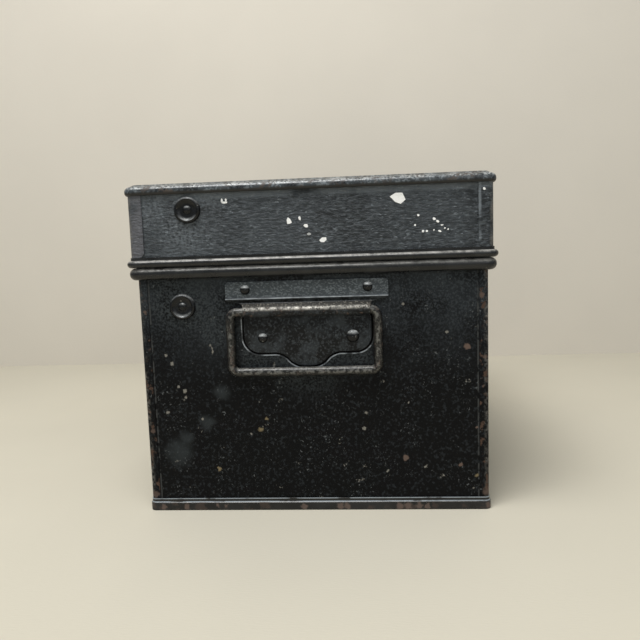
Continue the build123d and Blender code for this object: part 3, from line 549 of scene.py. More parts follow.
# %% Lid panels
LID_BLACK = (0.0155, 0.0185, 0.021)
LID_GREY = (0.078, 0.091, 0.102)
LID_STROKE = (0.080, 0.092, 0.101)
LID_PALE = (0.20, 0.225, 0.245)
LAP_GREY = (0.155, 0.150, 0.165)
CRINKLE_SQUEEZE = (0.34, 0.34, 1.0)
LID_HAZE = [(88.0, 206.0, 30.0), (112.0, 222.0, 22.0), (70.0, 232.0, 20.0)]
# In metres: the paler band below the rim, the front lap's lifted line, the back lap and the corners.
LID_BAND_Z = (0.2265, 0.2290)
LID_LAP_Y = -0.1178
BACK_LAP_Y = (0.1160, 0.1175)
LID_CORNER = (0.1786, 0.12765)


def lid_japan(name):
    finish = Finish(name, LID_BLACK, 0.36, specular=0.26)
    finish.layer([finish.patches(55.0, 0.3, 0.7), 0.38], LID_GREY, 0.46)
    strokes = finish.patches(1.3, 0.42, 0.66, 5.0, CRINKLE_SQUEEZE, 0.3)
    finish.layer([strokes, 0.68], LID_STROKE, 0.38)
    bright = finish.patches(1.2, 0.57, 0.70, 5.0, CRINKLE_SQUEEZE, 0.3)
    finish.layer([bright, finish.patches(14.0, 0.36, 0.62), 0.75], LID_PALE, 0.40)
    finish.layer([finish.step("Z", *LID_BAND_Z), finish.patches(24.0, 0.3, 0.55), 0.45], LID_PALE, 0.42)
    finish.layer([finish.spots(5.5, 0.4, 0.12), 0.6], SPECK, 0.6)
    crinkle = noise(finish.tree, stretched(finish.tree, finish.place, CRINKLE_SQUEEZE), 1.6, 4.0, 0.6, 0.3)
    finish.bump(crinkle, 1.2, 1.0)
    finish.uneven(42.0, 1.0, 1.1, 0.35)
    return finish


def lid_panel_finish():
    finish = lid_japan("black_japan_lid")
    haze = placed_marks(finish, LID_HAZE, 0.95, 8.0, 12.0)
    finish.layer([haze, finish.patches(2.0, 0.3, 0.7, 4.0), 0.5], LID_PALE, 0.55)
    return finish.close()


def lid_wrap_finish():
    """The lid's long walls, with worn corners and a pale line where the front lap has lifted."""
    finish = lid_japan("black_japan_lid_wrap")
    finish.layer([finish.corners(*LID_CORNER, 0.0035, 9.0), 0.8], WORN_METAL, 0.5, 0.4)
    left_end = on_left_end(finish)
    line = finish.close_to(finish.along("Y"), LID_LAP_Y, 0.0016, 0.0004)
    finish.layer([line, left_end, finish.patches(14.0, 0.3, 0.55), 0.7], LID_PALE, 0.5)
    finish.layer([finish.step("Y", *BACK_LAP_Y), left_end, finish.patches(20.0, 0.25, 0.6), 0.5],
                 LAP_GREY, 0.46)
    return finish.close()


# %% [markdown]
# ## Rolled edges
# Beads, rolls and rims take the knocks. Their tops are rubbed through to brownish-grey metal in long
# uneven stretches, and this pale metal on what faces up is also a painted highlight; the paint below
# them stays black and rather glossy. One list of layers serves them all, with more or less bare metal
# and painted highlight.

# %% Rolled edges
EDGE_BLACK = (0.0050, 0.0052, 0.0055)
EDGE_DUSTY = (0.035, 0.036, 0.036)
# Colours for what faces up: rubbed metal that also stands as a painted highlight.
EDGE_METAL_AND_HIGHLIGHT = (0.46, 0.445, 0.405)
EDGE_DULL_METAL_AND_HIGHLIGHT = (0.28, 0.27, 0.25)
EDGE_FLECK_AND_HIGHLIGHT = (0.48, 0.45, 0.40)


def rolled_edge_finish(name, metal_and_highlight_share, low, high):
    finish = Finish(name, EDGE_BLACK, 0.26, specular=0.42)
    finish.layer([finish.patches(18.0, 0.35, 0.7), 0.35], EDGE_DUSTY, 0.38)
    # Painted highlight and rubbed metal where the surface faces up.
    rubbed_and_lit = finish.tops(6.0, low, high, 0.85)
    finish.layer([rubbed_and_lit, metal_and_highlight_share], EDGE_METAL_AND_HIGHLIGHT, 0.34, 0.15)
    finish.layer([finish.tops(1.4, low - 0.15, high, 0.9), finish.patches(14.0, 0.40, 0.58), 0.75],
                 EDGE_DULL_METAL_AND_HIGHLIGHT, 0.38)
    finish.layer([finish.tops(3.0, low, high, 1.0), finish.spots(5.5, 0.45, 0.30, 1.8)],
                 EDGE_FLECK_AND_HIGHLIGHT, 0.42, 0.4)
    finish.layer([finish.patches(11.0, 0.60, 0.70, 5.0), finish.spots(4.5, 0.6, 0.4, 1.0)], RUST, 0.8, 0.0)
    finish.uneven(1.3, 4.0, 0.09, 0.8, 0.6)
    finish.uneven(13.0, 2.0, 0.5, 0.4)
    return finish


# %% [markdown]
# ## The lid's top
# The rim has a painted sheen where it faces out, a painted highlight along its crest and painted
# shade at its foot, and the top inside it is dusty and scuffed. The way the surface faces tells these
# apart, and the foot goes by its height.

# %% Lid top and its rim
RIM_BLACK = (0.0055, 0.0060, 0.0066)
# Painted light on the rim: sheen grey and pale, crest highlight, and shade at the foot.
RIM_SHEEN_GREY = (0.060, 0.071, 0.078)
RIM_SHEEN_PALE = (0.21, 0.235, 0.25)
RIM_CREST_HIGHLIGHT = (0.55, 0.56, 0.54)
RIM_CHIP = (0.055, 0.040, 0.030)
RIM_FOOT_SHADE = (0.0035, 0.0036, 0.0038)
RIM_FOOT_SHADE_Z = (0.2342, 0.2330)
SCUFF_SQUEEZE = (0.35, 1.0, 1.0)


def rim_finish():
    finish = Finish("lid_top_painted_light", RIM_BLACK, 0.26, specular=0.5)
    # Painted sheen, grey and mottled, where the rim faces out.
    sheen_band = finish.tops(11.0, -0.65, 0.15, 0.85)
    finish.layer([sheen_band, 0.8], RIM_SHEEN_GREY, 0.32)
    finish.layer([sheen_band, finish.patches(2.0, 0.50, 0.59, 4.0), 0.75], RIM_SHEEN_PALE, 0.34)
    # Painted highlight along the crest.
    crest = finish.tops(12.0, 0.30, 0.70, 0.8)
    finish.layer([crest, finish.patches(1.6, 0.40, 0.58, 4.0), 0.85], RIM_CREST_HIGHLIGHT, 0.26, 0.1)
    finish.layer([finish.patches(10.0, 0.52, 0.60, 4.0), finish.patches(2.4, 0.45, 0.53, 4.0), 0.85],
                 RIM_CHIP, 0.6)
    finish.uneven(1.4, 4.0, 0.10, 0.8, 0.6)
    finish.uneven(14.0, 2.0, 0.6, 0.4)
    # Painted shade at the rim's foot.
    finish.layer([finish.step("Z", *RIM_FOOT_SHADE_Z), 0.9], RIM_FOOT_SHADE, 0.4)
    flat = ramp(finish.tree, finish.facing_along("Z"), 0.93, 0.995)
    finish.layer([flat, 0.93], LID_BLACK, 0.44, 0.0)
    finish.layer([flat, finish.patches(70.0, 0.35, 0.65), 0.55], LID_GREY, 0.5, 0.0)
    scuffs = finish.patches(2.2, 0.60, 0.74, 4.0, SCUFF_SQUEEZE)
    finish.layer([flat, scuffs, 0.6], LID_PALE, 0.55, 0.0)
    finish.layer([flat, finish.spots(7.0, 0.4, 0.16, 0.8), 0.8], CHIP, 0.6)
    return finish.close()


# %% [markdown]
# ## The base seam
# The folded foot of the box stands on the table, so it rusts. Two thin bright lines along its lip are
# painted highlights on the fold's edges, and rust sits in patches on the fold below them.

# %% Base seam
SEAM_RUST = [(114.9, 2.8, 2.8), (97.7, 2.7, 2.9), (74.2, 3.6, 2.0), (68.0, 3.6, 1.6), (9.8, 2.6, 3.0),
             (-16.8, 2.8, 3.6), (-22.0, 2.8, 3.0), (-60.0, 2.6, 3.4), (-66.0, 2.9, 3.6), (-74.0, 2.8, 3.4),
             (-80.0, 2.5, 2.8), (-123.5, 3.0, 3.0)]
# The height and half the width of each painted highlight line.
LIP_HIGHLIGHT_LINES = ((0.00875, 0.00045), (0.00655, 0.00040))
LIP_HIGHLIGHT = (0.34, 0.38, 0.41)
LIP_SQUEEZE = (0.4, 0.4, 1.0)
FOLD_Z = (0.0064, 0.0058)
FOLD_SKIN = (("X", 0.1752, 0.1757), ("Y", 0.1248, 0.1253))


def base_finish():
    finish = rolled_edge_finish("black_japan_base", 0.25, 0.3, 0.9)
    height = finish.along("Z")
    for middle, half in LIP_HIGHLIGHT_LINES:
        line = finish.close_to(height, middle, half, half / 3)
        broken = finish.patches(5.0, 0.32, 0.5, 4.0, LIP_SQUEEZE)
        # Painted highlight along each edge of the lip, broken here and there.
        finish.layer([line, broken, 0.9], LIP_HIGHLIGHT, 0.45, 0.15)
    fold = ramp(finish.tree, height, *FOLD_Z)
    outside = either_mask(finish.tree, *(ramp(finish.tree, finish.from_middle(axis), low, high)
                                         for axis, low, high in FOLD_SKIN))
    finish.layer([fold, outside, finish.patches(9.0, 0.55, 0.64, 5.0), 0.4], RUST, 0.85, 0.0)
    finish.layer([placed_marks(finish, SEAM_RUST, 0.6, 4.5), 0.85], RUST_PALE, 0.85, 0.0)
    return finish.close()


# %% [markdown]
# ## The handle
# The pressed plate kept its japan on the flat and lost it where the bail rubs: the tunnel is down to
# dull metal, with a painted highlight on top and painted shade left black underneath, and the
# stiffening rib above it is burnished, with a painted highlight on its upper side. The bail has lost
# most of its japan to the hand. It shows dark steel with brown rust in the pits, and painted
# highlights along its sides and top.

# %% Handle plate and bail
BAR_Z = 0.1474
RIB_Z = BAR_Z + 0.0083
SLOPE_Z = BAR_Z + 0.0050
FLANGE_Z = (0.1565, 0.1590)
PLATE_PROUD_X = (0.1758, 0.1767)
GRAIN_SQUEEZE = (1.0, 0.6, 1.0)
PLATE_BLACK = (0.0075, 0.0080, 0.0088)
PLATE_GREY = (0.070, 0.080, 0.088)
FLANGE_GREY = (0.072, 0.084, 0.090)
FLANGE_PALE = (0.175, 0.195, 0.205)
TUNNEL_DULL = (0.034, 0.030, 0.024)
TUNNEL_METAL_HIGHLIGHT = (0.50, 0.475, 0.42)
TUNNEL_PIT = (0.016, 0.014, 0.012)
SLOPE_DULL = (0.026, 0.024, 0.020)
SLOPE_PALE = (0.20, 0.185, 0.155)
RIB_METAL_HIGHLIGHT = (0.40, 0.43, 0.44)
WIRE_DARK = (0.0085, 0.0082, 0.0075)
WIRE_BRIGHT = (0.17, 0.162, 0.140)
WIRE_SIDE_HIGHLIGHT = (0.24, 0.235, 0.215)
WIRE_TOP_HIGHLIGHT = (0.36, 0.35, 0.32)
WIRE_PIT = (0.006, 0.006, 0.006)


def near_height(finish, middle, half):
    return finish.close_to(finish.along("Z"), middle, half, half * 0.7)


def handle_plate_finish():
    finish = Finish("black_japan_plate", PLATE_BLACK, 0.36, specular=0.16)
    finish.layer([finish.patches(13.0, 0.42, 0.62), 0.55], DUST, 0.46)
    finish.layer([finish.patches(1.6, 0.50, 0.62, 5.0), 0.5], PLATE_GREY, 0.44)
    finish.layer([finish.patches(12.0, 0.45, 0.6), finish.spots(2.4, 0.45, 0.26, 1.2), 0.6], SPECK, 0.55)
    flange = finish.step("Z", *FLANGE_Z)
    finish.layer([flange, 0.6], FLANGE_GREY, 0.44)
    grain = finish.patches(1.0, 0.50, 0.62, 3.0, GRAIN_SQUEEZE)
    finish.layer([flange, grain, 0.65], FLANGE_PALE, 0.46)
    proud = ramp(finish.tree, finish.from_middle("X"), *PLATE_PROUD_X)
    tunnel = finish.times(proud, near_height(finish, BAR_Z, 0.0048))
    # Dull metal only where the tunnel faces up; its underside stays black as painted shade.
    finish.layer([tunnel, finish.tops(2.0, -0.3, 0.5, 0.6), 0.9], TUNNEL_DULL, 0.42)
    # Pale metal on the tunnel's top: rubbed metal and a painted highlight.
    finish.layer([tunnel, finish.tops(2.4, 0.12, 0.62, 0.8)], TUNNEL_METAL_HIGHLIGHT, 0.38, 0.2)
    finish.layer([tunnel, finish.patches(1.3, 0.50, 0.58, 3.0), finish.patches(6.0, 0.42, 0.55), 0.85],
                 TUNNEL_PIT, 0.45)
    finish.layer([tunnel, finish.patches(4.0, 0.60, 0.67, 4.0), 0.6], RUST_PALE, 0.8, 0.0)
    slope = finish.times(proud, near_height(finish, SLOPE_Z, 0.0019), finish.tops(2.5, 0.2, 0.7, 0.0))
    finish.layer([slope, 0.9], SLOPE_DULL, 0.5, 0.0)
    finish.layer([slope, finish.patches(1.4, 0.54, 0.62, 4.0), 0.7], SLOPE_PALE, 0.55)
    # The rib's upper side: burnished metal and a painted highlight.
    rib = finish.times(proud, near_height(finish, RIB_Z, 0.0024), finish.tops(6.0, -0.05, 0.45, 0.55))
    finish.layer([rib, 0.9], RIB_METAL_HIGHLIGHT, 0.34, 0.2)
    finish.uneven(1.4, 3.0, 0.10, 0.8)
    return finish.close()


def bail_finish():
    finish = Finish("worn_wire", WIRE_DARK, 0.28, metallic=0.1, specular=0.38)
    finish.layer([finish.patches(1.2, 0.50, 0.58, 4.0), finish.patches(9.0, 0.36, 0.58), 0.38],
                 WIRE_BRIGHT, 0.36, 0.3)
    # Painted highlight along the side bars, where they face out.
    side = ramp(finish.tree, math_node(finish.tree, "ABSOLUTE", finish.facing_along("X")), 0.84, 0.99)
    finish.layer([side, finish.patches(2.6, 0.46, 0.58, 4.0), 0.5], WIRE_SIDE_HIGHLIGHT, 0.32, 0.2)
    finish.layer([finish.patches(5.0, 0.57, 0.66, 5.0), finish.patches(1.2, 0.42, 0.5), 0.5],
                 RUST_PALE, 0.8, 0.0)
    # Painted highlight along the wire's top, with rubbed metal.
    finish.layer([finish.tops(1.8, 0.35, 0.95, 0.85), 0.5], WIRE_TOP_HIGHLIGHT, 0.32, 0.3)
    finish.layer(finish.spots(2.0, 0.5, 0.3, 1.4), WIRE_PIT, 0.4, 0.0)
    finish.uneven(1.0, 4.0, 0.14, 0.9, 0.65)
    return finish.close()


# %% [markdown]
# ## Rivets, cup washers, steel and brass
# Rivet heads and the washers' crests catch the light: their tops carry rubbed metal and a painted
# highlight. What works inside the box is bare steel that has dulled, and the keyhole plate is tarnished
# brass.

# %% Small fittings
STUD_BLACK = (0.0038, 0.0040, 0.0044)
STUD_METAL_HIGHLIGHT = (0.66, 0.68, 0.67)
STEEL = (0.40, 0.39, 0.375)
STEEL_DRAWN = (0.27, 0.26, 0.25)
STEEL_DULL = (0.15, 0.135, 0.12)
DRAWN_SQUEEZE = (0.3, 1.0, 0.12)
BRASS = (0.52, 0.38, 0.17)
BRASS_DULL = (0.20, 0.135, 0.06)
BRASS_TARNISH = (0.07, 0.055, 0.035)


def stud_finish(name, metal_and_highlight_share):
    finish = Finish(name, STUD_BLACK, 0.24, specular=0.30)
    finish.layer([finish.patches(4.0, 0.4, 0.7), 0.12], DUST, 0.4)
    # Pale metal on top: rubbed metal and a painted highlight.
    finish.layer([finish.tops(1.6, 0.20, 0.62, 0.6), metal_and_highlight_share], STUD_METAL_HIGHLIGHT, 0.26, 0.1)
    finish.layer([finish.spots(2.4, 0.25, 0.3, 0.9), 0.6], CHIP, 0.6)
    finish.uneven(1.2, 3.0, 0.08, 0.8)
    return finish.close()


def bare_steel_finish():
    finish = Finish("bare_steel", STEEL, 0.38, metallic=1.0)
    finish.layer([finish.patches(1.0, 0.35, 0.7, 3.0, DRAWN_SQUEEZE), 0.6], STEEL_DRAWN, 0.46)
    finish.layer([finish.patches(12.0, 0.5, 0.7, 4.0), 0.7], STEEL_DULL, 0.55)
    finish.layer([finish.patches(7.0, 0.60, 0.70, 5.0), 0.9], RUST, 0.8, 0.0)
    finish.uneven(0.9, 3.0, 0.04, 0.6)
    return finish.close()


def brass_finish():
    finish = Finish("brass_fitting", BRASS, 0.34, metallic=1.0)
    finish.layer([finish.patches(6.0, 0.4, 0.68, 4.0), 0.8], BRASS_DULL, 0.5)
    finish.layer([finish.patches(2.0, 0.58, 0.72, 4.0), 0.7], BRASS_TARNISH, 0.65, 0.3)
    finish.uneven(1.2, 3.0, 0.05, 0.6)
    return finish.close()


# %% Put each finish on its pieces
ENDS = {"left": -1, "right": 1}


def at_both_ends(*names):
    return [f"{name}_{end}" for name in names for end in ENDS]


plate_finish = handle_plate_finish()
top_finish = rim_finish()
FINISHES = [
    (body_panel_finish(), at_both_ends("body_end_panel")),
    (body_wrap_finish(), ["body_front_panel", "body_back_panel"]),
    (base_finish(), ["body_base"]),
    (rolled_edge_finish("rubbed_bead_painted_highlight", 0.8, 0.24, 0.80).close(), ["body_rim", "lid_hem"]),
    (top_finish, ["lid_top"]),
    (lid_panel_finish(), at_both_ends("lid_end_panel")),
    (lid_wrap_finish(), ["lid_front_wall", "lid_back_wall"]),
    (plate_finish, at_both_ends("handle_plate")),
    (bail_finish(), at_both_ends("bail")),
    (stud_finish("rubbed_rivets_painted_highlight", 0.8),
     at_both_ends("handle_rivets") + ["hinge_rivets", "lock_rivets", "link_rivets",
                                      "hinge_strap_left", "hinge_strap_middle", "hinge_strap_right"]),
    (stud_finish("rubbed_washers_painted_highlight", 0.30),
     at_both_ends("stay_lid_washer", "stay_body_washer", "stay_lid_stud", "stay_body_stud")),
    (bare_steel_finish(), at_both_ends("stay_arm") + ["lid_wire", "lock_case", "lock_cap", "lock_bolt",
                                                      "lock_spring", "lock_link"]),
    (brass_finish(), ["keyhole_escutcheon", "escutcheon_pins"]),
]
for material, names in FINISHES:
    for name in names:
        nodes[name].data.materials.clear()
        nodes[name].data.materials.append(material)
finished = [name for material, names in FINISHES for name in names]
print(len(finished), "pieces finished, left plain:", sorted(set(nodes) - set(finished)))

# %% [markdown]
# ## The pressed handle plate
# One sheet is pressed to shape on the real handle: a flange for the upper rivets, a stiffening rib, a
# slope out to the tunnel that holds the bail's bar, and an apron with an ogee edge. It could be carved
# from a block, but here it is made as a sheet is: flat strips between fold lines, folds rounded with a
# bevel, and then a thickness. The apron starts as a face with sharp corners, which are rounded next.

# %% A piece from a finished bmesh
EDGE_STEPS = 2
EDGE_ANGLE = radians(50)
SHARP_ANGLE = radians(40)


def only(kind, geom):
    """The vertices or the faces among what an operator gave back."""
    return [item for item in geom if isinstance(item, kind)]


def add_piece(name, shape, materials, body):
    """Turn a finished bmesh into a smooth piece that rides on a body."""
    piece = mesh_object(name, shape, materials)
    piece.data.shade_smooth()
    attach(piece, body)
    print(name, "has", len(piece.data.polygons), "faces")
    return piece


def face_outwards(shape, side):
    """Give a sheet's faces one direction, with the flat ones facing away from the box."""
    bmesh.ops.recalc_face_normals(shape, faces=shape.faces[:])
    widest = max(shape.faces, key=lambda face: face.calc_area())
    if widest.normal.x * side < 0:
        bmesh.ops.reverse_faces(shape, faces=shape.faces[:])


def add_sheet_thickness(piece, thickness, edge):
    """Thicken a sheet inwards, then round its cut edges."""
    solidify = piece.modifiers.new("thickness", "SOLIDIFY")
    solidify.thickness = thickness
    solidify.offset = -1
    solidify.use_even_offset = True
    rounded = piece.modifiers.new("edges", "BEVEL")
    rounded.width = edge
    rounded.segments = EDGE_STEPS
    rounded.limit_method = "ANGLE"
    rounded.angle_limit = EDGE_ANGLE
    piece.data.set_sharp_from_angle(angle=SHARP_ANGLE)


# %% Folds and outline of the plate
BAR_PLACE = Vector((0.1745, 0.003, BAR_Z))
PLATE_THICK = 0.0006
PLATE_EDGE = 0.0002
FOLD_STEPS = 7
# Out from the end panel, up from the bar, half the width, and how far the bend reaches, in mm.
PLATE_FOLDS = [(0.9, 21.6, 58.0, 0), (0.9, 10.4, 58.0, 0.6), (2.25, 9.2, 58.0, 0.6), (1.85, 7.8, 57.6, 0.7),
               (1.1, 6.5, 49.0, 0.5), (2.4, 5.56, 46.2, 0), (7.35, 1.96, 44.8, 1.95),
               (7.35, -3.85, 44.8, 3.75), (0.9, -3.85, 44.8, 0.4)]
# Half the width, up from the bar, and how far the rounding reaches, in mm.
APRON_CORNERS = [(45.6, -5.2, 0), (45.6, -29.8, 11.5), (18.0, -29.8, 5.6), (8.4, -39.8, 5.6)]
FLAT_OUT = 0.9
FLANGE_ROUND = 3.0
NEAR = 0.00005


def plate_point(side, out, along, up):
    return Vector((side * (BAR_PLACE.x + out / 1000), BAR_PLACE.y + along / 1000, BAR_PLACE.z + up / 1000))


def flat_point(side, along, up):
    """A place on the flange or the apron, which both lie flat on the end panel."""
    return plate_point(side, FLAT_OUT, along, up)


def folded_strips(shape, side):
    """Flat strips between the fold lines; gives back the two ends of the last fold."""
    rows = [[shape.verts.new(plate_point(side, out, end * half, up)) for end in (-1, 1)]
            for out, up, half, bend in PLATE_FOLDS]
    for upper, lower in zip(rows, rows[1:]):
        shape.faces.new((upper[0], upper[1], lower[1], lower[0]))
    return rows[-1]


def round_corners(shape, side, half, up, reach):
    """Round the sheet's outline at a corner and at its twin on the other side."""
    for along in (-half, half):
        place = flat_point(side, along, up)
        corner = [vert for vert in shape.verts if (vert.co - place).length < NEAR]
        bmesh.ops.bevel(shape, geom=corner, offset=reach / 1000, offset_type="OFFSET",
                        segments=FOLD_STEPS + 2, profile=0.5, affect="VERTICES", material=-1,
                        clamp_overlap=False)


def apron_face(shape, side, top_edge):
    """The apron below its top edge, with the ogee's corners rounded."""
    left, right = ([shape.verts.new(flat_point(side, end * half, up)) for half, up, reach in APRON_CORNERS]
                   for end in (-1, 1))
    shape.faces.new((*top_edge, *right, *reversed(left)))
    for half, up, reach in APRON_CORNERS:
        if reach:
            round_corners(shape, side, half, up, reach)


def round_fold(shape, place, reach):
    """Round the bend along one fold line."""
    on_fold = {vert for vert in shape.verts
               if abs(vert.co.x - place.x) < NEAR and abs(vert.co.z - place.z) < NEAR}
    fold = [edge for edge in shape.edges if all(vert in on_fold for vert in edge.verts)]
    bmesh.ops.bevel(shape, geom=fold, offset=reach / 1000, offset_type="OFFSET", segments=FOLD_STEPS,
                    profile=0.5, affect="EDGES", material=-1, clamp_overlap=False)


# %% Pressed handle plates
def pressed_plate(end, side):
    shape = bmesh.new()
    apron_face(shape, side, folded_strips(shape, side))
    out, up, half, reach = PLATE_FOLDS[0]
    round_corners(shape, side, half, up, FLANGE_ROUND)
    for out, up, half, reach in PLATE_FOLDS:
        if reach:
            round_fold(shape, plate_point(side, out, 0, up), reach)
    face_outwards(shape, side)
    piece = add_piece(f"pressed_plate_{end}", shape, [plate_finish], "box")
    add_sheet_thickness(piece, PLATE_THICK, PLATE_EDGE)
    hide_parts(f"handle_plate_{end}")


for end, side in ENDS.items():
    pressed_plate(end, side)

# %% [markdown]
# ## Japan pooled round the plate, with painted shadow
# The box was japanned with its plates on, so varnish pooled along their edges in a thin raised bead.
# A black ring between the plate and the bead is painted shadow under the plate's edge, and the
# bead's pale colour is rubbed japan and a painted highlight. The apron's outline is grown three
# times: flat for the painted shadow, up to the bead's crest, and down again.

# %% Grow an outline
def grow_outline(shape, wide, lift):
    """Add a band round a flat shape's edge, in its own plane and then moved by lift."""
    rim = [edge for edge in shape.edges if edge.is_boundary]
    outwards = {}
    for edge in rim:
        loop = edge.link_loops[0]
        along = loop.link_loop_next.vert.co - loop.vert.co
        for vert in edge.verts:
            outwards.setdefault(vert.co.to_tuple(6), []).append(along.cross(loop.face.normal).normalized())
    made = bmesh.ops.extrude_edge_only(shape, edges=rim)["geom"]
    for vert in only(bmesh.types.BMVert, made):
        first, second = outwards[vert.co.to_tuple(6)]
        vert.co += (first + second) * wide / (1 + first.dot(second)) + lift
    return only(bmesh.types.BMFace, made)


# %% Pooled bead
CREASE_WIDE, BEAD_WIDE, BEAD_HIGH = 0.0015, 0.00045, 0.0003
# Each ring outwards from the apron: its width, its rise and its material.
POOL_RINGS = [(CREASE_WIDE, 0, 0), (BEAD_WIDE, BEAD_HIGH, 1), (BEAD_WIDE, -BEAD_HIGH, 1)]
POOL_TOP_MM, POOL_HALF_MM = -4.2, 44.8
POOL_SUNK = 0.00085
# The black ring is painted shadow; the bead's pale is rubbed japan and a painted highlight.
CREASE_PAINTED_SHADOW = (0.0020, 0.0020, 0.0021)
CREASE_SHADOW_DUSTY = (0.006, 0.0055, 0.005)
BEAD_BLACK = (0.024, 0.027, 0.030)
BEAD_PALE_HIGHLIGHT = (0.25, 0.27, 0.285)


def pool_finishes():
    # Painted shadow next to the plate's edge, with a little dust.
    crease_shadow = Finish("painted_shadow_in_the_crease", CREASE_PAINTED_SHADOW, 0.6, specular=0.06)
    crease_shadow.layer(crease_shadow.patches(3.0, 0.5, 0.7), CREASE_SHADOW_DUSTY)
    bead = Finish("japan_bead_painted_highlight", BEAD_BLACK, 0.32, specular=0.4)
    # Pale bead: rubbed japan and a painted highlight.
    bead.layer(bead.patches(8.0, 0.40, 0.56, 4.0), BEAD_PALE_HIGHLIGHT, 0.34)
    return [crease_shadow.close(), bead.close()]


def pooled_bead(end, side, materials):
    shape = bmesh.new()
    top_edge = [shape.verts.new(flat_point(side, end_at * POOL_HALF_MM, POOL_TOP_MM)) for end_at in (-1, 1)]
    apron_face(shape, side, top_edge)
    bmesh.ops.translate(shape, verts=shape.verts, vec=(-side * POOL_SUNK, 0, 0))
    shape.normal_update()
    for wide, rise, material in POOL_RINGS:
        for face in grow_outline(shape, wide, Vector((side * rise, 0, 0))):
            face.material_index = material
        shape.normal_update()
    face_outwards(shape, side)
    add_piece(f"pooled_japan_{end}", shape, materials, "box")


pool = pool_finishes()
for end, side in ENDS.items():
    pooled_bead(end, side, pool)

# %% [markdown]
# ## The rolled lid top
# The lid top is a pan whose edge is turned down and nearly half round, and light runs along it. A block
# with rounded corners has its upper and lower edges rounded. What faces down is taken away, which
# leaves an open pan, and the low raised field is inset in its top.

# %% Lid top
RIM_DEPTH = 0.0069
RIM_BULGE = 0.0004
RIM_CORNER = 0.0066
RIM_TOP_ROUND, RIM_FOOT_ROUND = 0.0036, 0.0028
RIM_STEPS = 8
RIM_TURNED_UNDER = -0.8
FIELD_INSET, FIELD_SLOPE = 0.0105, 0.0022
TOP_THICK = 0.0008
LEVEL = 0.999


def round_edges(shape, edges, radius):
    bmesh.ops.bevel(shape, geom=edges, offset=radius, offset_type="OFFSET", segments=RIM_STEPS, profile=0.5,
                    affect="EDGES", material=-1, clamp_overlap=True)
    shape.normal_update()


def level_faces(shape, sign):
    return [face for face in shape.faces if face.normal.z * sign > LEVEL]


def rolled_lid_top():
    low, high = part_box("lid_top")
    field_rise = high.z - low.z - RIM_DEPTH
    size = (2 * (high.x + RIM_BULGE), 2 * (high.y + RIM_BULGE), RIM_DEPTH)
    shape = bmesh.new()
    bmesh.ops.create_cube(shape, size=1.0)
    place = Matrix.Translation((0, 0, low.z + RIM_DEPTH / 2)) @ Matrix.Diagonal((*size, 1))
    bmesh.ops.transform(shape, matrix=place, verts=shape.verts)
    upright = [edge for edge in shape.edges
               if abs(edge.verts[0].co.z - edge.verts[1].co.z) > RIM_DEPTH / 2]
    round_edges(shape, upright, RIM_CORNER)
    for sign, radius in ((1, RIM_TOP_ROUND), (-1, RIM_FOOT_ROUND)):
        round_edges(shape, [edge for face in level_faces(shape, sign) for edge in face.edges], radius)
    under = [face for face in shape.faces if face.normal.z < RIM_TURNED_UNDER]
    bmesh.ops.delete(shape, geom=under, context="FACES")
    for inwards, rise in ((FIELD_INSET - RIM_TOP_ROUND, 0), (FIELD_SLOPE, field_rise)):
        field = level_faces(shape, 1)
        grown = bmesh.ops.extrude_face_region(shape, geom=field + list(field[0].edges))["geom"]
        verts = only(bmesh.types.BMVert, grown)
        half_x, half_y = (max(vert.co[axis] for vert in verts) for axis in (0, 1))
        bmesh.ops.scale(shape, verts=verts, vec=(1 - inwards / half_x, 1 - inwards / half_y, 1))
        bmesh.ops.translate(shape, verts=verts, vec=(0, 0, rise))
        bmesh.ops.recalc_face_normals(shape, faces=shape.faces[:])
    bmesh.ops.delete(shape, geom=[edge for edge in shape.edges if edge.is_wire], context="EDGES")
    piece = add_piece("rolled_lid_top", shape, [top_finish], "lid")
    add_sheet_thickness(piece, TOP_THICK, TOP_THICK / 3)
    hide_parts("lid_top")


rolled_lid_top()

# %% [markdown]
# ## Spilt white paint
# Somebody once painted near the box. The dried flecks stand a little proud of the lid's end. Each
# starts as a disc that is pushed out of round, then drawn out to its thickness, and they ride on the
# lid. Places and sizes were measured on the photograph, in millimetres.

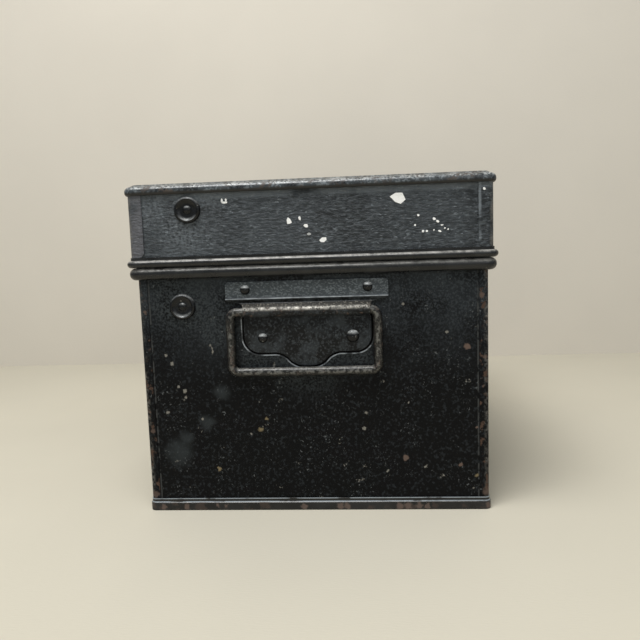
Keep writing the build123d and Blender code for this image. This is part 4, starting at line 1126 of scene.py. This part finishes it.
# %% White flecks on the lid
FLECK_THICK = 0.00022
FLECK_SIDES = 6
FLECKS = [
    (59.4, 226.2, 1.6, 3.6, 0), (56.5, 226.5, 1.7, 3.0, 0), (57.9, 224.8, 4.4, 1.7, 0),
    (12.8, 210.4, 3.2, 5.2, 15), (5.4, 212.2, 2.0, 3.0, 20), (1.0, 206.6, 3.8, 2.8, -30),
    (-0.9, 201.0, 3.4, 1.9, 0), (-10.5, 196.5, 5.2, 3.2, 20),
    (-62.9, 223.2, 9.4, 8.2, -40), (-76.3, 211.2, 1.8, 1.7, 0), (-74.1, 204.5, 1.4, 1.3, 0),
    (-87.2, 208.2, 2.4, 1.7, -35), (-89.6, 206.4, 2.2, 1.7, -35), (-92.4, 203.9, 2.3, 1.2, 0),
    (-79.5, 200.3, 2.0, 1.9, 0), (-82.2, 200.2, 1.6, 1.5, 0), (-87.0, 200.7, 1.1, 1.1, 0),
    (-91.0, 199.8, 2.7, 1.6, -30), (-94.4, 201.8, 1.1, 1.1, 0), (-96.5, 201.0, 1.0, 1.1, 0),
    (-120.9, 227.2, 2.7, 1.9, -35),
]
THIN_FLECKS = [(-0.9, 201.0, 4.0)]
LAP_START = -0.1172
DISC_RADII = (0.72, 1.28)
PAINT_WHITE = (0.95, 0.945, 0.92)
PAINT_DIRTY = (0.70, 0.69, 0.64)
PAINT_THIN = (0.30, 0.31, 0.31)


def paint_flecks():
    chance = random.Random(7)
    end_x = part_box("lid_end_panel_left")[0].x
    lap_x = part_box("lid_front_wall")[0].x
    shape = bmesh.new()
    for y, z, width, height, turn in FLECKS:
        face_x = lap_x if y / 1000 < LAP_START else end_x
        made = bmesh.ops.create_circle(shape, cap_ends=True, radius=0.5, segments=FLECK_SIDES)["verts"]
        for vert in made:
            vert.co *= chance.uniform(*DISC_RADII)
        size = Matrix.Diagonal((width / 1000, height / 1000, 1, 1))
        upright = Matrix.Rotation(radians(-90), 4, "Y") @ Matrix.Rotation(radians(-90), 4, "Z")
        place = Matrix.Translation((face_x, y / 1000, z / 1000))
        bmesh.ops.transform(shape, matrix=place @ upright @ Matrix.Rotation(radians(turn), 4, "Z") @ size,
                            verts=made)
    raised = bmesh.ops.extrude_face_region(shape, geom=shape.faces[:])["geom"]
    bmesh.ops.translate(shape, verts=only(bmesh.types.BMVert, raised), vec=(-FLECK_THICK, 0, 0))
    bmesh.ops.recalc_face_normals(shape, faces=shape.faces[:])
    return mesh_object("paint_flecks", shape, [paint_finish()])


def paint_finish():
    finish = Finish("dried_white_paint", PAINT_WHITE, 0.6)
    finish.layer([finish.patches(2.0, 0.45, 0.7), 0.35], PAINT_DIRTY, 0.7)
    finish.layer([placed_marks(finish, THIN_FLECKS), 0.8], PAINT_THIN, 0.6)
    finish.uneven(1.0, 3.0, 0.15, 0.8)
    return finish.close()


flecks = paint_flecks()
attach(flecks, "lid")
print(len(FLECKS), "flecks with", len(flecks.data.polygons), "faces")
